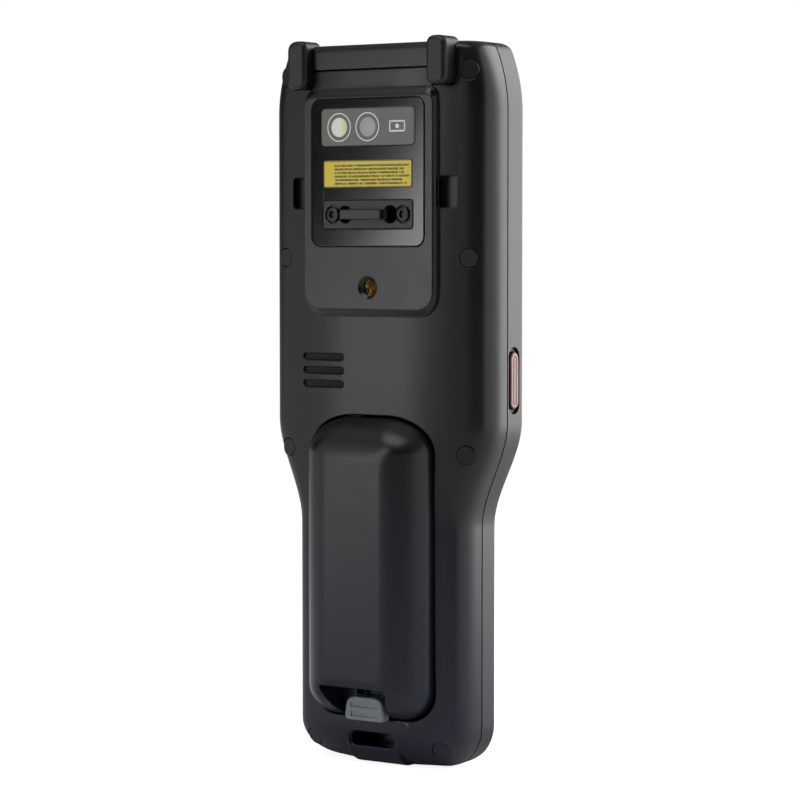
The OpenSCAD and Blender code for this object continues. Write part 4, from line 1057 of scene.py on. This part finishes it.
def makeWindow():      # two eyes, each with a printed ring, and a pictogram
    v, shape = panel["windowV"], midCard(window["w"], window["h"], window["r"])
    plate = stack("cameraWindow", onPanel(v), shape, blockProfile(-window["t"], 0, 0, 0.45, 4))
    marks = []
    for x in (0, window["lens"]):
        combine(plate, [stack("eye", onPanel(v, x), disc(window["disc"] + 0.02), holeProfile(-0.2, 0, 0.1))])
        marks.append(ringPiece("ring", onPanel(v, x), *window["ring"]))
    finishPiece(plate, "housing", ["camera_window"], "window")
    printed = joined("windowMarks", marks + pictogram(v))
    finishPiece(printed, "housing", [], "window", look=extraFinishes["whitePrint"])


def makeLens(name, x, slot, look=None):      # a domed disc behind the window's front
    profile = [(0, -0.21), (0, -0.1)]
    profile += [(window["disc"] * (1 - math.cos(a)), -0.1 + 0.09 * math.sin(a)) for a in quarterTurn(8)[1:-1]]
    piece = stack(name, onPanel(panel["windowV"], x), disc(window["disc"]), profile)
    return finishPiece(piece, "housing", [], slot, 60, look)


def makeLabel():
    shape = midCard(label["w"], label["h"], label["r"])
    piece = stack("labelPlate", onPanel(panel["labelV"]), shape, blockProfile(-label["t"], 0, 0, 0.1, 2))
    return finishPiece(piece, "housing", ["label_plate"], "label")


def makeStrapBar():      # a plate with two pockets and screw holes, and a bridge over it
    at = onPanel(panel["barV"])
    shape = midCard(bar["w"], bar["h"], bar["r"])
    plate = stack("strapBar", at, shape, blockProfile(-panel["t"], 0, 0, 0.3, 4))
    cuts = []
    for side in (-1, 1):
        pocketAt = onPanel(panel["barV"], side * bar["pocketX"])
        screwAt = onPanel(panel["barV"], side * bar["screwX"])
        cuts += [stack("pocket", pocketAt, disc(bar["pocketR"]), holeProfile(-3, 0, 0.25)),
                 stack("sink", screwAt, disc(bar["headR"] + 0.45), holeProfile(-1, 0, 0.3, over=4)),
                 stack("shaft", screwAt, disc(1.2), blockProfile(-3, -0.5))]
    combine(plate, cuts)
    h, rise, step = bar["half"], bar["rise"], bar["step"]
    right = [(bar["web"], -0.3), (bar["web"] + 0.3, 1.1), (h + 0.9, 1.4), (h + 0.9, rise - step),
             (h, rise - step + 0.1), (h, rise)]
    radii = [0.1, 0.5, 0.5, 0.5, 0.1, 0.5]
    shape = softened(right + [(-u, n) for u, n in reversed(right)], radii + radii[::-1], 4)
    bridgeAt = at @ seat((0, -bar["t"] / 2, 0), (1, 0, 0), (0, 0, 1), (0, 1, 0))
    profile = blockProfile(0, bar["t"], 0.3, 0.3, 3)
    combine(plate, [stack("bridge", bridgeAt, traced(shape), profile)], "UNION")
    return finishPiece(plate, "housing", ["strap_bar"], "dark_metal")


def makeStrapScrews():
    pieces = []
    for side in (-1, 1):
        at = onPanel(panel["barV"], side * bar["screwX"])
        head = stack("head", at, disc(bar["headR"]), blockProfile(-1, 0.3, 0, 0.35))
        combine(head, [stack("socket", at, disc(1.15, 48, 0.16), holeProfile(-0.6, 0.3, 0.15))])
        shaft = stack("shaft", at, disc(0.85, 24), blockProfile(-panel["t"] - 3.4, -0.95))
        pieces.append(combine(head, [shaft], "UNION"))
    return finishPiece(joined("strapScrews", pieces), "housing", ["strap_screws"], "steel",
                       look=extraFinishes["blackSteelAndShade"])


makePanel()
makeWindow()
makeLens("flashLens", window["lens"], "lamp")
makeLens("cameraLens", 0, "window", extraFinishes["cameraLens"])
makeLabel()
makeStrapBar()
makeStrapScrews()
print("camera panel built")

# threaded insert, case screws and their plugs

thread = {"pitch": 0.8, "ridge": 0.27, "sides": 28, "turns": 7.5, "from": 1.2, "gap": 0.25}


def makeThread(at):      # a sharp ridge along a helix, which fades at both ends
    pitch, sides, steps = thread["pitch"], thread["sides"], int(thread["turns"] * thread["sides"])
    r = insert["bore"] / 2 + thread["ridge"]
    rings = []
    for i in range(steps + 1):
        a, rise = 2 * math.pi * i / sides, thread["from"] + pitch * i / sides
        fade = min(1.0, i / sides * 2, (steps - i) / sides * 2) + 0.05
        section = [(r, rise - pitch * 0.4), (r - thread["ridge"] * fade, rise), (r, rise + pitch * 0.4)]
        rings.append([at @ Vector((q * math.cos(a), q * math.sin(a), n)) for q, n in section])
    return loft("thread", rings)


def makeInsert():
    length = insert["len"] - insert["short"]
    at = backSeat(0, insert["z"], padD - insert["sink"] - insert["len"])
    tube = stack("threadedInsert", at, disc(insert["d"] / 2, 64), blockProfile(0, length, 0.3, 0.3, 3))
    bore = disc(insert["bore"] / 2 + thread["gap"], 64)
    combine(tube, [stack("bore", at, bore, holeProfile(1, length, 0.5))])
    piece = joined("threadedInsert", [tube, makeThread(at)])
    return finishPiece(piece, "housing", ["threaded_insert"], "brass")


def makePlugs():
    profile = blockProfile(-screw["plugT"] - 0.1, -0.12, 0, 0.3, 4)
    plugs = [stack("plug", surfaceSeat(x, z), disc(screw["plug"]), profile) for x, z in sitePairs()]
    return finishPiece(joined("screwPlugs", plugs), "housing", ["screw_plugs"], "rubber")


def makeCaseScrews():
    screws = []
    for x, z in sitePairs():
        at = backSeat(x, z, surfaceSeat(x, z).translation[1] - screw["headSeat"])
        head = stack("head", at, disc(screw["headD"] / 2, 32), blockProfile(0, screw["headT"], 0, 0.3, 3))
        shape, profile = disc(screw["socket"], 48, 0.14), blockProfile(screw["headT"] / 2, 3)
        combine(head, [stack("socket", at, shape, profile)])
        shaft = stack("shaft", at, disc(screw["d"] / 2, 24), blockProfile(-at.translation[1] - 5, 0.1))
        screws.append(combine(head, [shaft], "UNION"))
    return finishPiece(joined("caseScrews", screws), "housing", ["case_screws"], "steel")


makeInsert()
makePlugs()
makeCaseScrews()
print("insert, screws and plugs built")

# battery pack, latch and spring

pack = {"w": 46.6, "len": 96.6, "z": 16.6, "low": 10, "top": 11, "in": 3.0, "rim": 16.9, "face": 26.6,
        "slope": 10, "wall": 1.4}
scoop = {"top": 26.9, "floor": 16.0, "face": (9.4, 13.6), "bed": (8.6, 12)}
latch = {"z": 15.3, "len": 7.8, "low": 7.8, "up": 6.9, "base": 16.25, "face": 19.6, "stemLow": 12.3,
         "stepHalf": 5.2, "steps": (1.7, 4.7)}
coil = {"wire": 0.225, "turns": 4, "sides": 24}      # wire is its radius


def curved(start, mid, end, steps):      # a quadratic curve without its first point
    return [tuple((1 - t) ** 2 * a + 2 * t * (1 - t) * b + t * t * c for a, b, c in zip(start, mid, end))
            for t in [i / steps for i in range(1, steps + 1)]]


def packProfile(inset=0.0):      # inset and depth from the side wall over the slope to the flat of the back
    rim, face, slope = pack["rim"], pack["face"] - inset, pack["slope"]
    points = [(0, pack["in"] - (1 if inset else 0)), (0, rim - 1.2)]
    points += curved(points[-1], (0.05, rim + 0.3), (1.2, rim + 2.0), 6)
    return points + curved(points[-1], (slope - 4.4, face - 0.15), (slope + 3.2, face), 16)


def packForm(name, inset):
    w, length, z = pack["w"] - 2 * inset, pack["len"] - 2 * inset, pack["z"] + inset
    rings = []
    for s, d in packProfile(inset):
        low, top = max(2.2, pack["low"] - inset - s), max(2.6, pack["top"] - inset - s)
        shape = card(w - 2 * s, length - 2 * s, low, top, z + s, 12, well["spread"])
        rings.append([(u, d, v) for u, v in shape(0)])
    return loft(name, rings)


def scoopShape(low, high):
    z, top = pack["z"] - 1.5, scoop["top"]
    return softened([(-low, z), (low, z), (high, top), (-high, top)], [0.2, 0.2, 1.0, 1.0], 5)


def packHoles():      # the scoop, the room for the latch's stem, and a relief along the foot
    shape = between(scoopShape(*scoop["bed"]), scoopShape(*scoop["face"]))
    profile = [(0, scoop["floor"]), (1, pack["face"] + 0.6), (1.1, pack["face"] + 4)]
    d, z = pack["in"], pack["z"]
    relief = [(d - 1, z - 1), (d + 7, z - 1), (d + 7, z), (d, z + 0.7), (d - 1, z + 0.7)]
    at = seat((-pack["w"] / 2, 0, 0), (0, 1, 0), (0, 0, 1), (1, 0, 0))
    return [stack("scoop", backSeat(), shape, profile),
            stack("stem", backSeat(0, latch["z"] + 2.65), card(10.3, 7.5, 0.2), blockProfile(12.15, 18.5)),
            stack("relief", at, traced(relief), blockProfile(0, pack["w"]))]


def makePack():
    case = packForm("batteryCase", 0)
    combine(case, [packForm("packInside", pack["wall"])])
    block = packForm("latchBlock", 0.3)
    limits = stack("limits", backSeat(0, pack["z"] + 0.2), card(32, 11.5, 1), blockProfile(4.4, 40))
    combine(block, [limits], "INTERSECT")
    shape, profile = card(tab["w"], tab["len"], 0.3), blockProfile(tab["low"], tab["high"], 0.3, 0.3, 3)
    tabs = [stack("tab", backSeat(side * tab["x"], tab["z"]), shape, profile) for side in (-1, 1)]
    combine(case, [block] + tabs, "UNION")
    combine(case, packHoles())
    return finishPiece(case, "battery", ["battery_case"], "battery_shell", 40)


def latchStep(v):      # a shallow step, deepest along its lower edge and one side
    x, top = latch["stepHalf"], latch["face"] + 0.2
    low, high = latch["z"] + v - 0.45, latch["z"] + v + 1.35
    rings = []
    for side, deep, shallow in ((1, 0.55, 0.22), (-1, 0.30, -0.02)):
        rings.append([(side * x, latch["face"] - deep, low), (side * x, top, low),
                      (side * x, top, high), (side * x, latch["face"] - shallow, high)])
    return loft("step", rings)


def makeLatch():
    z, length = latch["z"], latch["len"]
    points = [(-latch["low"], z), (latch["low"], z), (latch["up"], z + length), (-latch["up"], z + length)]
    shape = traced(softened(points, [1.8, 1.8, 3.4, 3.4], 8))
    piece = stack("batteryLatch", backSeat(), shape, blockProfile(latch["base"], latch["face"], 0.1, 0.7))
    profile = blockProfile(latch["stemLow"], latch["base"] + 0.3)
    combine(piece, [stack("stem", backSeat(0, z + 2.8), card(10, 5, 0.3), profile)], "UNION")
    combine(piece, [latchStep(v) for v in latch["steps"]])
    return finishPiece(piece, "latch", ["battery_latch"], "latch")


def makeSpring():      # its upper end stays with the pack and its lower end follows the latch
    low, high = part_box("latch_spring")
    wire, turns, sides = coil["wire"], coil["turns"], coil["sides"]
    depth = ((low.y + high.y) / 2 - seamY) / mm
    bottom, top, r = low.z / mm + wire, high.z / mm - wire, (high.x - low.x) / 2 / mm - wire
    rings = []
    for k in range(turns * sides + 1):
        a, z = 2 * math.pi * k / sides, bottom + (top - bottom) * k / (turns * sides)
        rings.append([((r + wire * math.cos(b)) * math.cos(a), depth + (r + wire * math.cos(b)) * math.sin(a),
                       z + wire * math.sin(b)) for b in [math.pi / 4 * i for i in range(8)]])
    # painted shade: the spring gets the black steel finish so that it reads as the shade in the gap above the
    # latch
    spring = finishPiece(loft("latchSpring", rings), None, ["latch_spring"], "steel", 60,
                         extraFinishes["blackSteelAndShade"])
    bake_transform(spring)


makePack()
makeLatch()
makeSpring()
print("battery pack, latch and spring built")

# side scan buttons


def buttonShape(narrower):
    return pill(button["w"] - narrower, button["len"] - narrower)


def makeButton(side, name):      # a grey core and a red ring in its groove
    rider, at = "button_" + name.lower(), buttonSeat(side)
    face = body["headW"] / 2 + button["proud"]
    core = stack("scanButton" + name, at, buttonShape(0), blockProfile(face - 3, face - 0.15, 0, 0.45))
    combine(core, [stack("groove", at, buttonShape(0.7), blockProfile(face - 0.9, face + 1))])
    flange = pill(button["w"], button["len"] + 2)
    combine(core, [stack("cap", at, buttonShape(3.1), blockProfile(face - 1, face - 0.05, 0, 0.3))], "UNION")
    combine(core, [stack("flange", at, flange, blockProfile(face - 3.7, face - 2.9))], "UNION")
    finishPiece(core, rider, ["scan_button_" + name.lower()], "button")
    core.data.materials.append(finishes["black_plastic"])
    straight = (button["len"] - button["w"]) / 2 * mm
    for polygon in core.data.polygons:      # painted shade: the flank round the ring is black, standing in for the shade in the button's recess
        across, up = polygon.center.y - seamY - button["d"] * mm, abs(polygon.center.z - button["z"] * mm)
        reach = math.hypot(across, max(0.0, up - straight))
        polygon.material_index = int(reach > (button["w"] - 1.4) / 2 * mm)
    ring = stack("buttonRing" + name, at, buttonShape(0.75), blockProfile(face - 0.9, face - 0.01, 0, 0.4, 5))
    combine(ring, [stack("inner", at, buttonShape(3.0), holeProfile(face - 2, face - 0.01, 0.25))])
    finishPiece(ring, rider, ["button_ring_" + name.lower()], "button_red")


makeButton(-1, "Left")
makeButton(1, "Right")
print("side buttons built")

# display glass and keys

figureSize, figureRise = 5.2, 0.04


def makeGlass():
    level = body["frontDepth"] - front["sunk"]
    shape = card(front["glassW"], front["glassLen"], front["glassR"] - 0.1, lift=front["glassZ"], steps=10)
    piece = stack("touchGlass", frontSeat(), shape, blockProfile(level - front["glassT"], level, 0, 0.3, 4))
    return finishPiece(piece, "housing", ["touch_glass"], "touch_glass")


def figure(text, at):      # a printed figure, centred on its place
    curve = bpy.data.curves.new("figure", "FONT")
    curve.body = text
    curve.size, curve.extrude = figureSize, figureRise
    curve.align_x, curve.align_y = "CENTER", "CENTER"
    source = bpy.data.objects.new("figure", curve)
    bpy.context.scene.collection.objects.link(source)
    bpy.context.view_layer.update()
    mesh = bpy.data.meshes.new_from_object(source.evaluated_get(bpy.context.evaluated_depsgraph_get()))
    bpy.data.objects.remove(source)
    return newPiece("mark", [at @ v.co for v in mesh.vertices], [tuple(p.vertices) for p in mesh.polygons])


def arrow(turn):
    points = [(-2, -0.25), (0.4, -0.25), (0.4, -1.1), (2, 0), (0.4, 1.1), (0.4, 0.25), (-2, 0.25)]
    c, s = math.cos(turn), math.sin(turn)
    return traced([(u * c - v * s, u * s + v * c) for u, v in points])


arrows = {"back": math.pi, "shift": math.pi / 2, "enter": math.pi}      # the turn of each key's arrow


def keyMarks(name, x, z):
    def mark(u, v, shape):
        return stack("mark", frontSeat(x + u, z + v, keys["face"]), shape, printProfile)

    if name.isdigit() or name in ("star", "hash"):
        return [figure({"star": "*", "hash": "#"}.get(name, name), frontSeat(x, z, keys["face"]))]
    if name in arrows:
        marks = [mark(0, 0, arrow(arrows[name]))]
        return marks + [mark(1.75, 0.85, midCard(0.5, 2.2, 0.05))] if name == "enter" else marks
    if name == "power":
        ring = ringPiece("mark", frontSeat(x, z, keys["face"]), 1.6, 0.22)
        return [ring, mark(0, 1.3, midCard(0.45, 1.9, 0.1))]
    if name == "navigation":
        return [mark(side * 9.2, 0, arrow(0 if side > 0 else math.pi)) for side in (-1, 1)]
    if name == "scan":      # seven plain bars
        return [mark(k * 1.3, 0, midCard(0.7 if k % 2 else 0.4, 4.4, 0.05)) for k in range(-3, 4)]
    return [mark(0, 0, midCard(3.4, 0.6, 0.2))]


def makeKey(name, x, z, wide, high, r):
    rider, at = "cap_" + name, frontSeat(x, z)
    level, skin, rim = -keys["face"], -keypadD - body["wall"], 2 * keys["flange"]
    cap = stack(rider, at, midCard(wide, high, r), blockProfile(skin - 0.12, level, 0, 0.65, 5))
    flange = stack("flange", at, midCard(wide + rim, high + rim, r), blockProfile(skin - 1, skin - 0.1))
    combine(cap, [flange], "UNION")
    slot, ink = ("scan_key", "whitePrint") if name == "scan" else ("keycap", "darkPrint")
    finishPiece(cap, rider, ["key_" + name], slot)
    finishPiece(joined("mark_" + name, keyMarks(name, x, z)), rider, [], slot, look=extraFinishes[ink])


makeGlass()
for site in keySites():
    makeKey(*site)
print("front built: glass and", len(keySites()), "keys")

# finishes of the CAD nodes that stay

slotOf = {part["node"]: part["material_slot"] for part in frame["record"]["subparts"]}
for node, piece in frame["nodes"].items():
    if piece.hide_render:
        continue
    piece.data.materials.clear()
    piece.data.materials.append(finishes[slotOf[node]])
    for polygon in piece.data.polygons:
        polygon.use_smooth = False
print("CAD nodes finished")

# camera

camera = {"azimuth": 214.5, "elevation": 3.1, "distance": 0.94633, "side": 0.00511, "height": 0.1185,
          "lens": 131.5, "sensor": 36, "near": 0.01, "far": 50}


def direction(turn, height):      # a direction, from its turn from the camera and its height angle
    a, e = math.radians(camera["azimuth"] + turn), math.radians(height)
    return Vector((math.sin(a) * math.cos(e), -math.cos(a) * math.cos(e), math.sin(e)))


def placed(thing, at, back, turn=0.0):      # an object that looks along -back
    item = bpy.data.objects.new(thing.name, thing)
    item.location = at
    item.rotation_mode = "QUATERNION"
    item.rotation_quaternion = (-back).to_track_quat("-Z", "Y") @ Quaternion((0, 0, 1), turn)
    bpy.context.scene.collection.objects.link(item)
    return item


def makeCamera():
    a, back = math.radians(camera["azimuth"]), direction(0, camera["elevation"])
    target = Vector((math.cos(a), math.sin(a), 0)) * camera["side"] + Vector((0, 0, camera["height"]))
    data = bpy.data.cameras.new("camera")
    data.lens, data.sensor_width = camera["lens"], camera["sensor"]
    data.clip_start, data.clip_end = camera["near"], camera["far"]
    bpy.context.scene.camera = placed(data, target + back * camera["distance"], back)


makeCamera()

# floor, lamps and world

stageLook = {"floor": 6.0, "paper": (0.86, 0.86, 0.86), "glow": 0.87, "front": 0.008, "backdrop": 0.22,
             "sky": 0.2, "mirrored": 0.4}
lamps = {      # turn from the camera, height angle, distance, size, brightness (1 shows as white), roll
    "left": (-66.0, 1.6, 0.9, (0.10, 1.3), 6.2, -26),
    "leftFill": (-91, 3, 0.9, (0.36, 1.3), 0.6, -20),
    "right": (121, 6, 0.8, (0.46, 1.3), 4.6, 0),
    "rightFill": (71, 8, 0.9, (0.8, 1.6), 1.15, -42),
    "top": (-40, 66, 0.9, (0.8, 0.45), 2.2, 0),
}


def makeFloor():
    half = stageLook["floor"]
    mesh = bpy.data.meshes.new("floor")
    mesh.from_pydata([(-half, -half, 0), (half, -half, 0), (half, half, 0), (-half, half, 0)], [],
                     [(0, 1, 2, 3)])
    floor = bpy.data.objects.new("floor", mesh)
    bpy.context.scene.collection.objects.link(floor)
    shade = Shade("floorPaper")      # pale paper that looks white, with the object's shadow on it
    paper = shade.add("ShaderNodeBsdfDiffuse", None, {"Color": tone(stageLook["paper"])})
    behind = 1 - shade.facing(shade.place()).ramp(-0.2, 0.02)
    seen = shade.ray("Camera")
    seen = seen + (shade.ray("Glossy") + shade.ray("Transmission")) * behind * stageLook["mirrored"]
    glow = shade.add("ShaderNodeEmission", None, {"Strength": stageLook["glow"]})
    bright = shade.add("ShaderNodeAddShader", None, {0: paper, 1: glow})
    mixed = shade.add("ShaderNodeMixShader", None, {0: seen.limit(), 1: paper, 2: bright})
    mesh.materials.append(shade.finish(mixed))


def makeLamp(name, turn, height, distance, size, brightness, rolled):
    data = bpy.data.lights.new(name, "AREA")
    data.shape = "RECTANGLE"
    data.size, data.size_y = size
    data.energy = brightness * math.pi * size[0] * size[1]
    away = direction(turn, height)
    placed(data, Vector((0, 0, camera["height"])) + away * distance, away, math.radians(rolled))


def makeWorld():      # white behind the object and dark on the camera's side; plain white to the camera
    shade = Shade("studio", bpy.data.worlds)
    bpy.context.scene.world = shade.material
    towards = shade.add("ShaderNodeTexCoord", out="Generated")
    height = shade.add("ShaderNodeSeparateXYZ", None, {0: towards}, "Z")
    backdrop = 1 - shade.facing(towards).ramp(-0.95, -0.45)
    lit = backdrop * stageLook["backdrop"] + height.ramp(0.3, 0.95) * stageLook["sky"] + stageLook["front"]
    seen = shade.ray("Camera")
    strength = seen + (1 - seen) * lit
    shade.finish(shade.add("ShaderNodeBackground", None, {"Color": (1, 1, 1, 1), "Strength": strength}))


makeFloor()
for name, values in lamps.items():
    makeLamp(name, *values)
makeWorld()
bpy.context.scene.view_settings.view_transform = "Standard"
print("stage, lamps and camera set")
